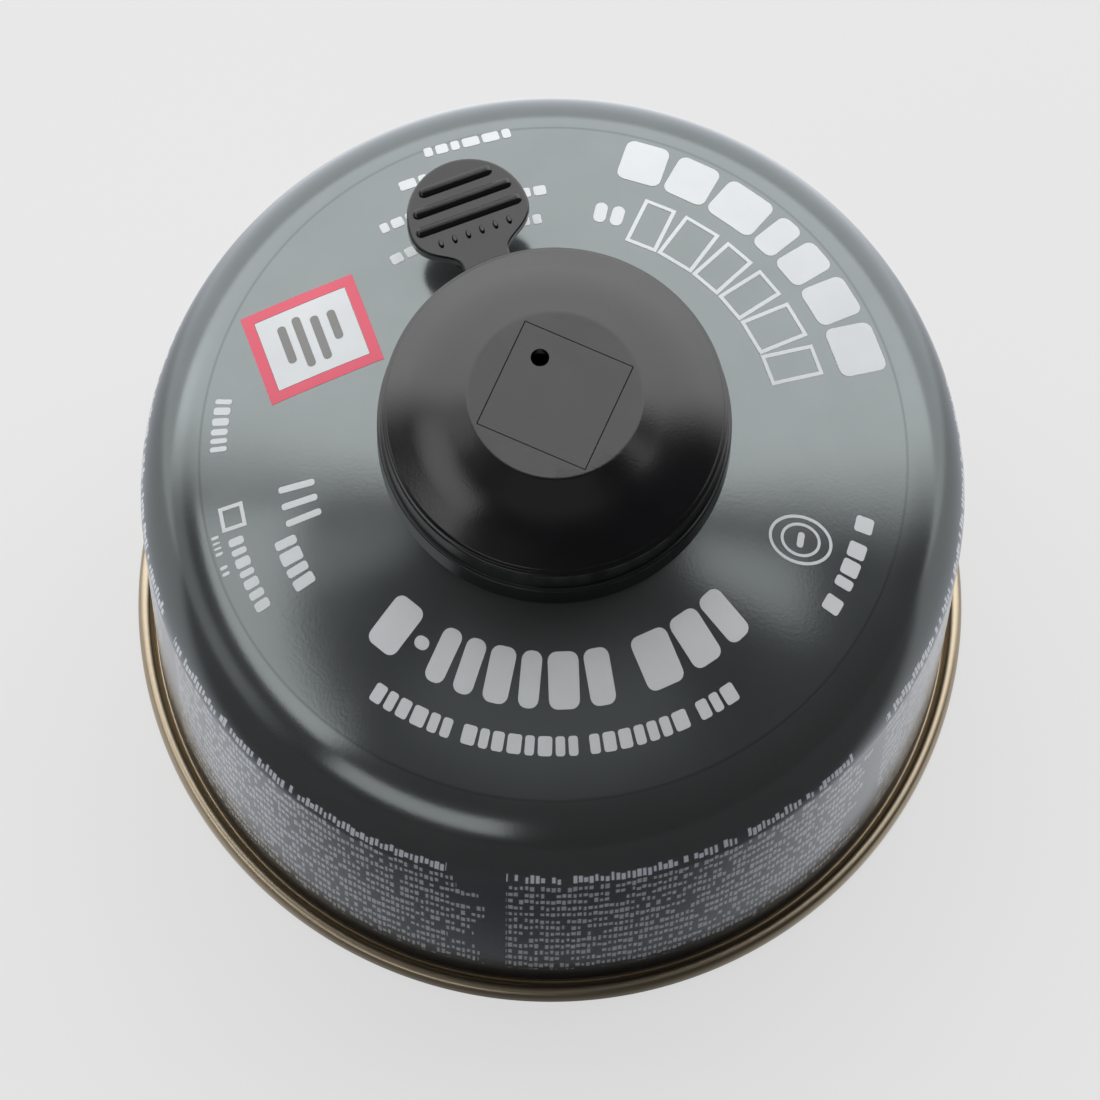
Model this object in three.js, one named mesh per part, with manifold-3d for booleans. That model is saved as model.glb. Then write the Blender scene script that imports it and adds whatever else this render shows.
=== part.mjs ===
// A small screw-valve fuel canister with its push-on plastic cap.
// Millimetres, +Z up. The origin is on the axis, in the plane that the seam stands on.
import * as THREE from 'three';
import { mergeVertices } from 'three/addons/utils/BufferGeometryUtils.js';
import Module from 'manifold-3d';

const wasm = await Module();
wasm.setup();

// Clearance between pieces that touch on the real object
const GAP = 0.3;
const SHEET = 0.5;

// Drawn can: wall, shoulder and dome
const WALL_RADIUS = 43.3;
const SHOULDER_HEIGHT = 41.28;
const SHOULDER_RADIUS = 11.6;
const SHOULDER_SWEEP = THREE.MathUtils.degToRad(64);
const DOME_TOP_SLOPE = 0.258;
const DOME_SEGMENTS = 4;

// Base end with its double seam
const SEAM_OVERHANG = 1.95;
const SEAM_HEIGHT = 3;
const SEAM_INSET = 0.65;
const SEAM_ROUND = 0.6;
const PANEL_DEPTH = 4.3;
const PANEL_RISE = 5.2;
const PANEL_STEPS = 5;

// Mounting cup: curl, trough and threaded pedestal
const CURL_RADIUS = 16.2;
const CURL_WIDTH = 3.55;
const CURL_SKIRT = 1.2;
const NECK_HEIGHT = 2.2;
const TROUGH_DEPTH = 6.1;
const TROUGH_ROUND = 1;
const CLINCH = 0.35;
const PEDESTAL_RADIUS = 5.55;
const PEDESTAL_WALL = 0.9;
const PEDESTAL_STAND = 6.1;
const PEDESTAL_CHAMFER = 0.55;
const PEDESTAL_TOP = 0.75;
const ORIFICE_RADIUS = 2.1;

// Valve: gasket, housing, stem and spring
const GASKET_HEIGHT = 0.9;
const STEM_RADIUS = 1;
const STEM_STAND = 1.1;
const COLLAR_RADIUS = 2.7;
const COLLAR_HEIGHT = 1.6;
const GUIDE_RADIUS = 1.15;
const GUIDE_LENGTH = 4.3;
const HOUSING_WALL = 0.85;
const HOUSING_LENGTH = 10.2;
const INLET_RADIUS = 0.9;
const SPRING_WIRE = 0.6;
const SPRING_TURNS = 6;

// Cap: flat top, cone, stepped skirt and lift tab
const CAP_TOP_RADIUS = 8.93;
const CAP_SKIRT_WALL = 0.45;
const CAP_CONE_DROP = 4.45;
const CAP_STEP = 0.42;
const CAP_BAND = 4.2;
const CAP_WALL = 1.45;
const CAP_SKIRT_DROP = 3.1;
const CAP_HOLE_RADIUS = 0.95;
const CAP_HOLE_OFFSET = 4.3;
const SCRIBE_WIDTH = 0.22;
const SCRIBE_DEPTH = 0.15;
const SNAP_BEAD = 0.35;
const TAB_DIRECTION = THREE.MathUtils.degToRad(112.3);
const TAB_REACH = 31.1;
const TAB_HEAD_WIDTH = 12.9;
const TAB_NECK_WIDTH = 5.2;
const TAB_FILLET = 5;
const TAB_THICKNESS = 1.7;
const TAB_LIFT = 0.5;
const RIB_RADIUS = 0.5;
const RIB_SPACING = 2;
const RIB_LENGTHS = [11.6, 10.8, 8];
const PIP_COUNT = 6;
const PIP_SPACING = 1.5;
const PIP_HEIGHT = 0.25;

// Levels and radii that follow from the sizes above
const rimRadius = WALL_RADIUS + SEAM_OVERHANG;
const shoulderCentre = WALL_RADIUS - SHOULDER_RADIUS;
const domeStart = new THREE.Vector2(
  shoulderCentre + SHOULDER_RADIUS * Math.cos(SHOULDER_SWEEP),
  SHOULDER_HEIGHT + SHOULDER_RADIUS * Math.sin(SHOULDER_SWEEP),
);
const domeStartSlope = 1 / Math.tan(SHOULDER_SWEEP);
const curlRound = CURL_WIDTH / 2;
const curlCentre = CURL_RADIUS - curlRound;
const neckOuter = CURL_RADIUS - SHEET - GAP;
const neckInner = CURL_RADIUS - CURL_WIDTH + SHEET + GAP;
const domeEnd = CURL_RADIUS + GAP;
const domeTop = domeHeight(domeEnd);
const curlBase = domeTop + NECK_HEIGHT;
const curlTop = curlBase + curlRound;
const troughFloor = curlTop - TROUGH_DEPTH;
const troughRadius = CURL_RADIUS - CURL_WIDTH;
const pocketFloor = troughFloor - SHEET - GAP;
const pedestalTop = curlTop + PEDESTAL_STAND;
const pedestalInner = PEDESTAL_RADIUS - PEDESTAL_WALL;
const gasketTop = pedestalTop - PEDESTAL_TOP - GAP;
const gasketBase = gasketTop - GASKET_HEIGHT;
const housingRadius = pedestalInner - GAP;
const housingTop = gasketBase - GAP;
const housingBase = housingTop - HOUSING_LENGTH;
const housingFloor = housingBase + HOUSING_WALL;
const collarTop = gasketBase - GAP;
const collarBase = collarTop - COLLAR_HEIGHT;
const springRadius = (GUIDE_RADIUS + housingRadius - HOUSING_WALL) / 2;
const skirtInner = CURL_RADIUS + SNAP_BEAD + GAP;
const coneRadius = skirtInner + CAP_SKIRT_WALL;
const skirtBase = curlTop - CAP_SKIRT_DROP;
const coneEdge = skirtBase + 2 * CAP_BAND;
const capTop = coneEdge + CAP_CONE_DROP;
const ledgeHeight = curlTop + GAP;
const tabTop = skirtBase + TAB_LIFT + TAB_THICKNESS;

// Height of the dome at a radius: its slope eases evenly from the shoulder to the neck
function domeHeight(radius) {
  const span = domeStart.x - CURL_RADIUS - GAP;
  const run = domeStart.x - radius;
  const easing = (domeStartSlope - DOME_TOP_SLOPE) / span;
  return domeStart.y + domeStartSlope * run - (easing * run * run) / 2;
}

// Points on an arc about a centre, from one angle to another in degrees
function arc(centreX, centreY, radius, from, to, steps) {
  return Array.from({ length: steps + 1 }, (_, step) => {
    const angle = THREE.MathUtils.degToRad(from + ((to - from) * step) / steps);
    return [centreX + radius * Math.cos(angle), centreY + radius * Math.sin(angle)];
  });
}

// Signed volume of an indexed geometry, negative when its faces point in
function signedVolume(geometry) {
  const { position } = geometry.attributes;
  const corner = (index) => new THREE.Vector3().fromBufferAttribute(position, geometry.index.getX(index));
  let total = 0;
  for (let face = 0; face < geometry.index.count; face += 3) {
    total += corner(face).dot(corner(face + 1).cross(corner(face + 2))) / 6;
  }
  return total;
}

// The geometry with only positions, shared vertices, no empty faces, and its faces pointing out
function welded(source) {
  const bare = source.clone();
  bare.deleteAttribute('normal');
  bare.deleteAttribute('uv');
  const merged = mergeVertices(bare, 1e-4);
  const faces = [];
  for (let face = 0; face < merged.index.count; face += 3) {
    const [a, b, c] = [0, 1, 2].map((offset) => merged.index.getX(face + offset));
    if (a !== b && b !== c && c !== a) {
      faces.push([a, b, c]);
    }
  }
  merged.setIndex(faces.flat());
  if (signedVolume(merged) < 0) {
    merged.setIndex(faces.map(([a, b, c]) => [a, c, b]).flat());
  }
  return merged;
}

// A solid of revolution about Z from [radius, height] points
function turned(points, segments) {
  const profile = points.map(([radius, height]) => new THREE.Vector2(Math.max(radius, 0), height));
  return welded(new THREE.LatheGeometry(profile, segments).rotateX(Math.PI / 2));
}

// A closed ring section turned about Z
function turnedRing(points, segments) {
  return turned([...points, points[0]], segments);
}

function asSolid(geometry) {
  const vertProperties = new Float32Array(geometry.attributes.position.array);
  const triVerts = new Uint32Array(geometry.index.array);
  return new wasm.Manifold(new wasm.Mesh({ numProp: 3, vertProperties, triVerts }));
}

function asGeometry(solid) {
  const { vertProperties, triVerts } = solid.getMesh();
  const geometry = new THREE.BufferGeometry();
  geometry.setAttribute('position', new THREE.BufferAttribute(vertProperties, 3));
  geometry.setIndex(new THREE.BufferAttribute(triVerts, 1));
  return geometry;
}

// Drawn steel can with its sealed fill, closed below by the base end's dish
function canBody() {
  const panelEdge = WALL_RADIUS - SEAM_INSET - 2 * SHEET;
  const footHeight = SEAM_HEIGHT + GAP;
  const dishEdge = PANEL_DEPTH + SHEET + GAP;
  const dish = Array.from({ length: PANEL_STEPS }, (_, step) => {
    const radius = (panelEdge * step) / PANEL_STEPS;
    return [radius, dishEdge + PANEL_RISE * (1 - (radius / panelEdge) ** 2)];
  });
  const foot = [
    [panelEdge, dishEdge],
    [WALL_RADIUS - SEAM_INSET + GAP / 2, PANEL_DEPTH],
    [WALL_RADIUS - SEAM_INSET + GAP, footHeight],
    [WALL_RADIUS, footHeight],
  ];
  const shoulder = arc(
    shoulderCentre, SHOULDER_HEIGHT, SHOULDER_RADIUS, 0, THREE.MathUtils.radToDeg(SHOULDER_SWEEP), 6,
  );
  const dome = Array.from({ length: DOME_SEGMENTS }, (_, step) => {
    const radius = domeStart.x + ((domeEnd - domeStart.x) * (step + 1)) / DOME_SEGMENTS;
    return [radius, domeHeight(radius)];
  });
  const gasketSeat = curlBase + SHEET / 5;
  const neck = [
    [neckOuter, domeTop + GAP],
    [neckOuter, gasketSeat - SHEET],
    [neckOuter - SHEET, gasketSeat],
    [neckInner + SHEET, gasketSeat],
    [neckInner, gasketSeat - SHEET],
    [neckInner, curlBase - NECK_HEIGHT + CLINCH],
    [neckInner + CLINCH, troughFloor + TROUGH_ROUND + SHEET],
    [neckInner + CLINCH, troughFloor + SHEET],
    [neckInner - TROUGH_ROUND, pocketFloor],
    [0, pocketFloor],
  ];
  return turned([...dish, ...foot, ...shoulder, ...dome, ...neck], 72);
}

// Lacquered base end: the seam roll that the can stands on, the chuck wall and the domed panel
function baseEnd() {
  const rollInner = WALL_RADIUS - SEAM_INSET - SHEET;
  const panelEdge = rollInner - SHEET;
  const dome = (lift) => Array.from({ length: PANEL_STEPS + 1 }, (_, step) => {
    const radius = (panelEdge * step) / PANEL_STEPS;
    return [radius, PANEL_DEPTH + lift + PANEL_RISE * (1 - (radius / panelEdge) ** 2)];
  });
  const under = dome(0);
  const over = dome(SHEET).reverse();
  const roll = [
    [rollInner, SEAM_HEIGHT],
    [rollInner + SHEET, SEAM_ROUND],
    [rollInner + SHEET + SEAM_ROUND, 0],
    [rimRadius - SEAM_ROUND, 0],
    [rimRadius - SEAM_ROUND / 4, SEAM_ROUND / 2],
    [rimRadius, SEAM_ROUND * 1.5],
    [rimRadius, SEAM_HEIGHT - SEAM_ROUND],
    [rimRadius - SEAM_ROUND, SEAM_HEIGHT],
    [WALL_RADIUS - SEAM_INSET, SEAM_HEIGHT],
    [WALL_RADIUS - SEAM_INSET - GAP / 2, PANEL_DEPTH - SHEET / 2],
  ];
  return turned([...under, ...roll, ...over], 72);
}

// Mounting cup: curl over the neck, trough and pedestal, pressed from one sheet
function valveCup() {
  const floorEdge = troughRadius - TROUGH_ROUND;
  const clinchHeight = troughFloor + TROUGH_ROUND + SHEET;
  const exposed = [
    [CURL_RADIUS, curlBase - CURL_SKIRT],
    ...arc(curlCentre, curlBase, curlRound, 0, 180, 6),
    [troughRadius, clinchHeight + SHEET],
    [troughRadius + CLINCH, clinchHeight],
    [troughRadius + CLINCH - SHEET / 2, troughFloor + SHEET],
    [floorEdge, troughFloor],
    [PEDESTAL_RADIUS + TROUGH_ROUND, troughFloor],
    [PEDESTAL_RADIUS, troughFloor + TROUGH_ROUND],
    [PEDESTAL_RADIUS, pedestalTop - PEDESTAL_CHAMFER],
    [PEDESTAL_RADIUS - PEDESTAL_CHAMFER, pedestalTop],
    [ORIFICE_RADIUS, pedestalTop],
  ];
  const hidden = [
    [ORIFICE_RADIUS, pedestalTop - PEDESTAL_TOP],
    [pedestalInner, pedestalTop - PEDESTAL_TOP],
    [pedestalInner, troughFloor + SHEET],
    [pedestalInner + TROUGH_ROUND, troughFloor - SHEET],
    [floorEdge, troughFloor - SHEET],
    [troughRadius + CLINCH + SHEET / 2, troughFloor + SHEET / 2],
    [troughRadius + CLINCH + SHEET, clinchHeight],
    [troughRadius + SHEET, clinchHeight + SHEET],
    ...arc(curlCentre, curlBase, curlRound - SHEET, 180, 0, 6),
    [CURL_RADIUS - SHEET, curlBase - CURL_SKIRT],
  ];
  return turnedRing([...exposed, ...hidden], 48);
}

// Flat ring of rectangular section
function flatRing(inner, outer, base, top, segments) {
  return turnedRing([[inner, base], [outer, base], [outer, top], [inner, top]], segments);
}

// Seal between the can's neck and the curl
function cupGasket() {
  const base = curlBase + SHEET / 5 + GAP;
  return flatRing(neckInner + SHEET, neckOuter - SHEET, base, base + GAP, 48);
}

// Rubber disc under the pedestal's top, bored for the stem
function stemGasket() {
  return flatRing(STEM_RADIUS + GAP, pedestalInner - GAP, gasketBase, gasketTop, 36);
}

// Plastic housing that holds the stem and spring, with the gas inlet in its floor
function valveHousing() {
  return turnedRing([
    [INLET_RADIUS, housingBase],
    [housingRadius - GAP, housingBase],
    [housingRadius, housingBase + GAP],
    [housingRadius, housingTop],
    [housingRadius - HOUSING_WALL, housingTop],
    [housingRadius - HOUSING_WALL, housingFloor],
    [INLET_RADIUS, housingFloor],
  ], 36);
}

// Stem: tip through the gasket, sealing collar and spring guide
function valveStem() {
  return turned([
    [0, collarBase - GUIDE_LENGTH],
    [GUIDE_RADIUS - GAP, collarBase - GUIDE_LENGTH],
    [GUIDE_RADIUS, collarBase - GUIDE_LENGTH + GAP],
    [GUIDE_RADIUS, collarBase],
    [COLLAR_RADIUS, collarBase],
    [COLLAR_RADIUS, collarTop - GAP],
    [COLLAR_RADIUS - GAP, collarTop],
    [STEM_RADIUS, collarTop],
    [STEM_RADIUS, collarTop + GAP + GASKET_HEIGHT + STEM_STAND - PEDESTAL_TOP],
    [0, collarTop + GAP + GASKET_HEIGHT + STEM_STAND - PEDESTAL_TOP],
  ], 24);
}

// Return spring between the housing's floor and the stem's collar
function valveSpring() {
  const low = housingFloor + GAP + SPRING_WIRE / 2;
  const high = collarBase - GAP - SPRING_WIRE / 2;
  class Coil extends THREE.Curve {
    getPoint(t, target = new THREE.Vector3()) {
      const turn = 2 * Math.PI * SPRING_TURNS * t;
      return target.set(
        springRadius * Math.cos(turn), springRadius * Math.sin(turn), low + (high - low) * t,
      );
    }
  }
  const section = new THREE.Shape().absarc(0, 0, SPRING_WIRE / 2, 0, 2 * Math.PI);
  return welded(new THREE.ExtrudeGeometry(section, {
    steps: 10 * SPRING_TURNS, curveSegments: 4, bevelEnabled: false, extrudePath: new Coil(),
  }));
}

// Cap shell: flat top, cone and two bands outside; ledge and snap bead inside
function capShell() {
  const crownTop = capTop - CAP_WALL;
  const upperInner = skirtInner - 2 * SHEET - GAP;
  return turned([
    [0, capTop],
    [CAP_TOP_RADIUS, capTop],
    [coneRadius, coneEdge],
    [coneRadius, coneEdge - CAP_STEP],
    [coneRadius + CAP_STEP, coneEdge - 1.5 * CAP_STEP],
    [coneRadius + 1.2 * CAP_STEP, coneEdge - CAP_BAND],
    [coneRadius + 2.1 * CAP_STEP, coneEdge - CAP_BAND - CAP_STEP / 4],
    [coneRadius + 2.2 * CAP_STEP, skirtBase + GAP],
    [coneRadius + 1.8 * CAP_STEP, skirtBase],
    [skirtInner + GAP, skirtBase],
    [skirtInner, skirtBase + GAP],
    [skirtInner - SNAP_BEAD, skirtBase + 2 * GAP],
    [skirtInner - SNAP_BEAD, skirtBase + 3 * GAP],
    [skirtInner, skirtBase + 4 * GAP],
    [skirtInner, ledgeHeight],
    [upperInner, ledgeHeight],
    [upperInner, coneEdge - CAP_WALL],
    [CAP_TOP_RADIUS - CAP_WALL / 4, crownTop],
    [0, crownTop],
  ], 72);
}

// Outline of the lift tab, pointing along +X from inside the skirt
function tabOutline() {
  const head = TAB_HEAD_WIDTH / 2;
  const neck = TAB_NECK_WIDTH / 2;
  const root = skirtInner + CAP_WALL / 2;
  const side = new THREE.CurvePath();
  const corner = (along, across) => new THREE.Vector2(along, across);
  const shoulder = TAB_REACH - head;
  const fillet = Math.min(TAB_FILLET, (shoulder - root) / 1.2);
  const pull = 0.56 * head;
  side.add(new THREE.LineCurve(corner(root, neck), corner(shoulder - fillet, neck)));
  side.add(new THREE.CubicBezierCurve(
    corner(shoulder - fillet, neck), corner(shoulder - 0.6 * fillet, neck),
    corner(shoulder - 0.64 * fillet, head), corner(shoulder, head),
  ));
  side.add(new THREE.CubicBezierCurve(
    corner(shoulder, head), corner(shoulder + pull, head), corner(TAB_REACH, pull), corner(TAB_REACH, 0),
  ));
  const upper = side.getPoints(8);
  const lower = upper.slice(0, -1).reverse().map((point) => corner(point.x, -point.y));
  return new THREE.Shape([...upper, ...lower]);
}

// Lift tab with its raised grip ribs and the row of short marks below them
function liftTab() {
  const edge = 0.3;
  const plate = welded(new THREE.ExtrudeGeometry(tabOutline(), {
    depth: TAB_THICKNESS - 2 * edge, bevelThickness: edge, bevelSize: edge, bevelOffset: -edge, bevelSegments: 1,
  }).translate(0, 0, skirtBase + TAB_LIFT + edge));
  const firstRib = TAB_REACH - TAB_HEAD_WIDTH / 2;
  const ribs = RIB_LENGTHS.map((length, row) => {
    const bar = new THREE.CapsuleGeometry(RIB_RADIUS, length - 2 * RIB_RADIUS, 3, 10);
    return asSolid(welded(bar.translate(firstRib + RIB_SPACING * row, 0, tabTop)));
  });
  const pips = Array.from({ length: PIP_COUNT }, (_, place) => {
    const pip = new THREE.BoxGeometry(1.2, 0.35, 2 * PIP_HEIGHT);
    const across = PIP_SPACING * (place - (PIP_COUNT - 1) / 2);
    return asSolid(welded(pip.translate(firstRib - 0.9 * RIB_SPACING, across, tabTop)));
  });
  return [...ribs, ...pips].reduce((tab, piece) => tab.add(piece), asSolid(plate));
}

// The fine square scribed in the cap's flat top, one corner towards the tab
function scribedSquare() {
  const side = Math.SQRT2 * (CAP_TOP_RADIUS - 2 * SCRIBE_WIDTH);
  return [0, 1, 2, 3].map((quarter) => {
    const line = new THREE.BoxGeometry(side, SCRIBE_WIDTH, 2 * SCRIBE_DEPTH);
    line.translate(0, side / 2, capTop).rotateZ(Math.PI / 4 + (quarter * Math.PI) / 2);
    return asSolid(welded(line));
  });
}

// One moulding: shell, tab, vent hole and scribed square
function capMoulding() {
  const drill = new THREE.CylinderGeometry(CAP_HOLE_RADIUS, CAP_HOLE_RADIUS, 4 * CAP_WALL, 20);
  drill.rotateX(Math.PI / 2).translate(CAP_HOLE_OFFSET, 0, capTop);
  const whole = asSolid(capShell()).add(liftTab());
  return asGeometry([asSolid(welded(drill)), ...scribedSquare()].reduce((cap, cut) => cap.subtract(cut), whole));
}

const paint = { color: 0x55605f, roughness: 0.42, metalness: 0.55 };
const lacquer = { color: 0xa58c5a, roughness: 0.3, metalness: 0.9 };
const steel = { color: 0xb9bcbd, roughness: 0.35, metalness: 1 };
const blackPlastic = { color: 0x1d1e20, roughness: 0.45, metalness: 0 };
const rubber = { color: 0x161616, roughness: 0.8, metalness: 0 };
const nylon = { color: 0xd9d6cc, roughness: 0.5, metalness: 0 };

const canister = new THREE.Group();

function addPiece(name, geometry, look) {
  const mesh = new THREE.Mesh(geometry, new THREE.MeshStandardMaterial(look));
  mesh.name = name;
  canister.add(mesh);
  return mesh;
}

addPiece('can_body', canBody(), paint);
addPiece('base_end', baseEnd(), lacquer);
addPiece('valve_cup', valveCup(), steel);
addPiece('cup_gasket', cupGasket(), rubber);
addPiece('stem_gasket', stemGasket(), rubber);
addPiece('valve_housing', valveHousing(), nylon);
addPiece('valve_stem', valveStem(), steel);
addPiece('valve_spring', valveSpring(), steel);
addPiece('cap', capMoulding(), blackPlastic).rotation.z = TAB_DIRECTION;

export default canister;
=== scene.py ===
"""A small fuel canister with its push-on cap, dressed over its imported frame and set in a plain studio."""

import logging
import math
import random
from collections.abc import Callable, Iterator, Sequence
from dataclasses import dataclass
from enum import Enum

import bmesh
import bpy
from mathutils import Matrix, Vector


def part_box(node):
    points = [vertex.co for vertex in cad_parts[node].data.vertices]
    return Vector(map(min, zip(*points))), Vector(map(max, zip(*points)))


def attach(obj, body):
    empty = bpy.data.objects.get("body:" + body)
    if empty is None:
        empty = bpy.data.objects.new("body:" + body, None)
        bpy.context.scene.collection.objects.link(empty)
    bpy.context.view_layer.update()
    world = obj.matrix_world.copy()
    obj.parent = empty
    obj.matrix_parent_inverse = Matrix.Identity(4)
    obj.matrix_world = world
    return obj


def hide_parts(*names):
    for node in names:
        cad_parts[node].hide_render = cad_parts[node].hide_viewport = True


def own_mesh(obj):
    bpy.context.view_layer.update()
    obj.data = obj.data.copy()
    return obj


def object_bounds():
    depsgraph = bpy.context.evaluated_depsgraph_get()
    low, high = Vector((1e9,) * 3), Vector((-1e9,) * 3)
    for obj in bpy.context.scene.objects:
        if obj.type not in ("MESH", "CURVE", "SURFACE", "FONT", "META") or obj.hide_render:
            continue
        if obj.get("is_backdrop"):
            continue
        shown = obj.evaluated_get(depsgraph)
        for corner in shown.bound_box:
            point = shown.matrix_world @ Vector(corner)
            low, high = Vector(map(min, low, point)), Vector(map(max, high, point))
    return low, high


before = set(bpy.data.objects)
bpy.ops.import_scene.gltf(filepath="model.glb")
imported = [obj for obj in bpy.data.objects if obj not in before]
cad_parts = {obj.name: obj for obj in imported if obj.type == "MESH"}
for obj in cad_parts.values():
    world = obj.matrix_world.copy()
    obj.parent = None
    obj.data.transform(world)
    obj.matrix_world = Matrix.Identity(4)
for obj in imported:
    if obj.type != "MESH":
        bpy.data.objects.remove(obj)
CAD_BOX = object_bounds()
MM = 0.001
MM_PER_METRE = 1000
LOG = logging.getLogger("canister")

Point = tuple[float, float]
Colour = tuple[float, float, float]
Socket = bpy.types.NodeSocket
Verts = list[bmesh.types.BMVert]
Patch = tuple[list[list[Point]], bool, float]


class Place(Enum):
    """The CAD bodies that pieces ride on."""

    CAN = "can"
    CAP = "cap"


class Lie(Enum):
    """Which way a printed block's length runs on the dome."""

    ROUND = 90.0
    RADIAL = 0.0


def arc(centre: Point, radius: float, start: float, end: float, steps: int) -> list[Point]:
    """Points on an arc of a turned section.

    Args:
        centre: The arc's centre as (radius, height).
        radius: The arc's own radius.
        start: The first angle in degrees.
        end: The last angle in degrees.
        steps: How many spans the arc has.

    Returns:
        The points from the first angle to the last.
    """
    angles = [math.radians(start + (end - start) * step / steps) for step in range(steps + 1)]
    return [(centre[0] + radius * math.cos(a), centre[1] + radius * math.sin(a)) for a in angles]


def eased(corners: Sequence[tuple[float, float, float]], steps: int = 4) -> list[Point]:
    """A section's outline with its corners rounded.

    Args:
        corners: The corners as (radius, height, rounding), where a rounding of 0 keeps a sharp corner.
        steps: How many spans each rounding has.

    Returns:
        The outline's points in order.
    """
    outline: list[Point] = []
    for index, (x, y, ease) in enumerate(corners):
        here = Vector((x, y))
        if ease == 0 or index in (0, len(corners) - 1):
            outline.append((x, y))
            continue
        before = Vector(corners[index - 1][:2]) - here
        after = Vector(corners[index + 1][:2]) - here
        reach = min(ease, 0.48 * before.length, 0.48 * after.length)
        start = here + before.normalized() * reach
        end = here + after.normalized() * reach
        for step in range(steps + 1):
            t = step / steps
            point = start * (1 - t) ** 2 + here * (2 * t * (1 - t)) + end * t * t
            outline.append((point.x, point.y))
    return outline


def from_bmesh(name: str, shape: bmesh.types.BMesh, crease: float = 35.0) -> bpy.types.Object:
    """Turns a bmesh in millimetres into a smooth piece in metres, with its faces pointing out.

    Args:
        name: The piece's name.
        shape: The bmesh, which is freed.
        crease: The angle in degrees above which an edge stays sharp.

    Returns:
        The new object.
    """
    bmesh.ops.remove_doubles(shape, verts=shape.verts, dist=1e-5)
    bmesh.ops.recalc_face_normals(shape, faces=shape.faces)
    bmesh.ops.scale(shape, vec=(MM, MM, MM), verts=shape.verts)
    mesh = bpy.data.meshes.new(name)
    shape.to_mesh(mesh)
    shape.free()
    mesh.shade_smooth()
    mesh.set_sharp_from_angle(angle=math.radians(crease))
    piece = bpy.data.objects.new(name, mesh)
    bpy.context.scene.collection.objects.link(piece)
    return piece


def skin(shape: bmesh.types.BMesh, rings: Sequence[Verts]) -> None:
    """Joins closed rings of vertices in order and caps the two ends.

    Args:
        shape: The bmesh.
        rings: The rings, each with the same number of vertices.
    """
    count = len(rings[0])
    for low, high in zip(rings, rings[1:]):
        for step in range(count):
            after = (step + 1) % count
            shape.faces.new((low[step], low[after], high[after], high[step]))
    shape.faces.new(rings[0])
    shape.faces.new(rings[-1])


def turned(
    name: str,
    outline: Sequence[Point],
    segments: int = 192,
    closed: bool = False,
    crease: float = 35.0,
    ripple: Callable[[float, float, float], float] | None = None,
) -> bpy.types.Object:
    """Turns a section about the canister's axis.

    Args:
        name: The piece's name.
        outline: The section as (radius, height) points in millimetres.
        segments: How many steps go round.
        closed: Whether the outline closes on itself instead of on the axis.
        crease: The angle in degrees above which an edge stays sharp.
        ripple: Gives a point's own radius from its radius, height and turn, as a thread needs.

    Returns:
        The turned piece.
    """
    shape = bmesh.new()
    rings = []
    for radius, height in outline:
        if radius < 1e-6:
            rings.append([shape.verts.new((0, 0, height))] * segments)
            continue
        ring = []
        for step in range(segments):
            turn = 2 * math.pi * step / segments
            reach = ripple(radius, height, turn) if ripple else radius
            ring.append(shape.verts.new((reach * math.cos(turn), reach * math.sin(turn), height)))
        rings.append(ring)
    pairs = list(zip(rings, rings[1:]))
    if closed:
        pairs.append((rings[-1], rings[0]))
    for low, high in pairs:
        for step in range(segments):
            corners = (low[step], low[(step + 1) % segments], high[(step + 1) % segments], high[step])
            distinct = list(dict.fromkeys(corners))
            if len(distinct) > 2:
                shape.faces.new(distinct)
    return from_bmesh(name, shape, crease)


def dress(
    piece: bpy.types.Object,
    material: bpy.types.Material,
    place: Place,
    replaced: str | None = None,
) -> bpy.types.Object:
    """Gives a piece its material and its body, and hides the CAD node that it stands for.

    Args:
        piece: The piece.
        material: Its material.
        place: The body that it rides on.
        replaced: The CAD node that it stands for, if any.

    Returns:
        The same piece.
    """
    piece.data.materials.clear()
    piece.data.materials.append(material)
    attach(piece, place.value)
    if replaced:
        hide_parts(replaced)
    LOG.info("%s: %d faces", piece.name, len(piece.data.polygons))
    return piece


def modify(piece: bpy.types.Object, kind: str, **settings: object) -> None:
    """Applies one modifier to a piece's mesh.

    Args:
        piece: The piece.
        kind: The modifier's Blender type.
        **settings: Its properties.
    """
    step = piece.modifiers.new("step", kind)
    for key, value in settings.items():
        setattr(step, key, value)
    bpy.context.view_layer.update()
    result = bpy.data.meshes.new_from_object(piece.evaluated_get(bpy.context.evaluated_depsgraph_get()))
    piece.modifiers.clear()
    piece.data = result


def boolean(piece: bpy.types.Object, tool: bpy.types.Object, operation: str) -> None:
    """Joins a tool to a piece or cuts it out, and removes the tool.

    Args:
        piece: The piece that is changed.
        tool: The other solid.
        operation: UNION or DIFFERENCE.
    """
    modify(piece, "BOOLEAN", operation=operation, solver="EXACT", object=tool)
    bpy.data.objects.remove(tool)


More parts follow.
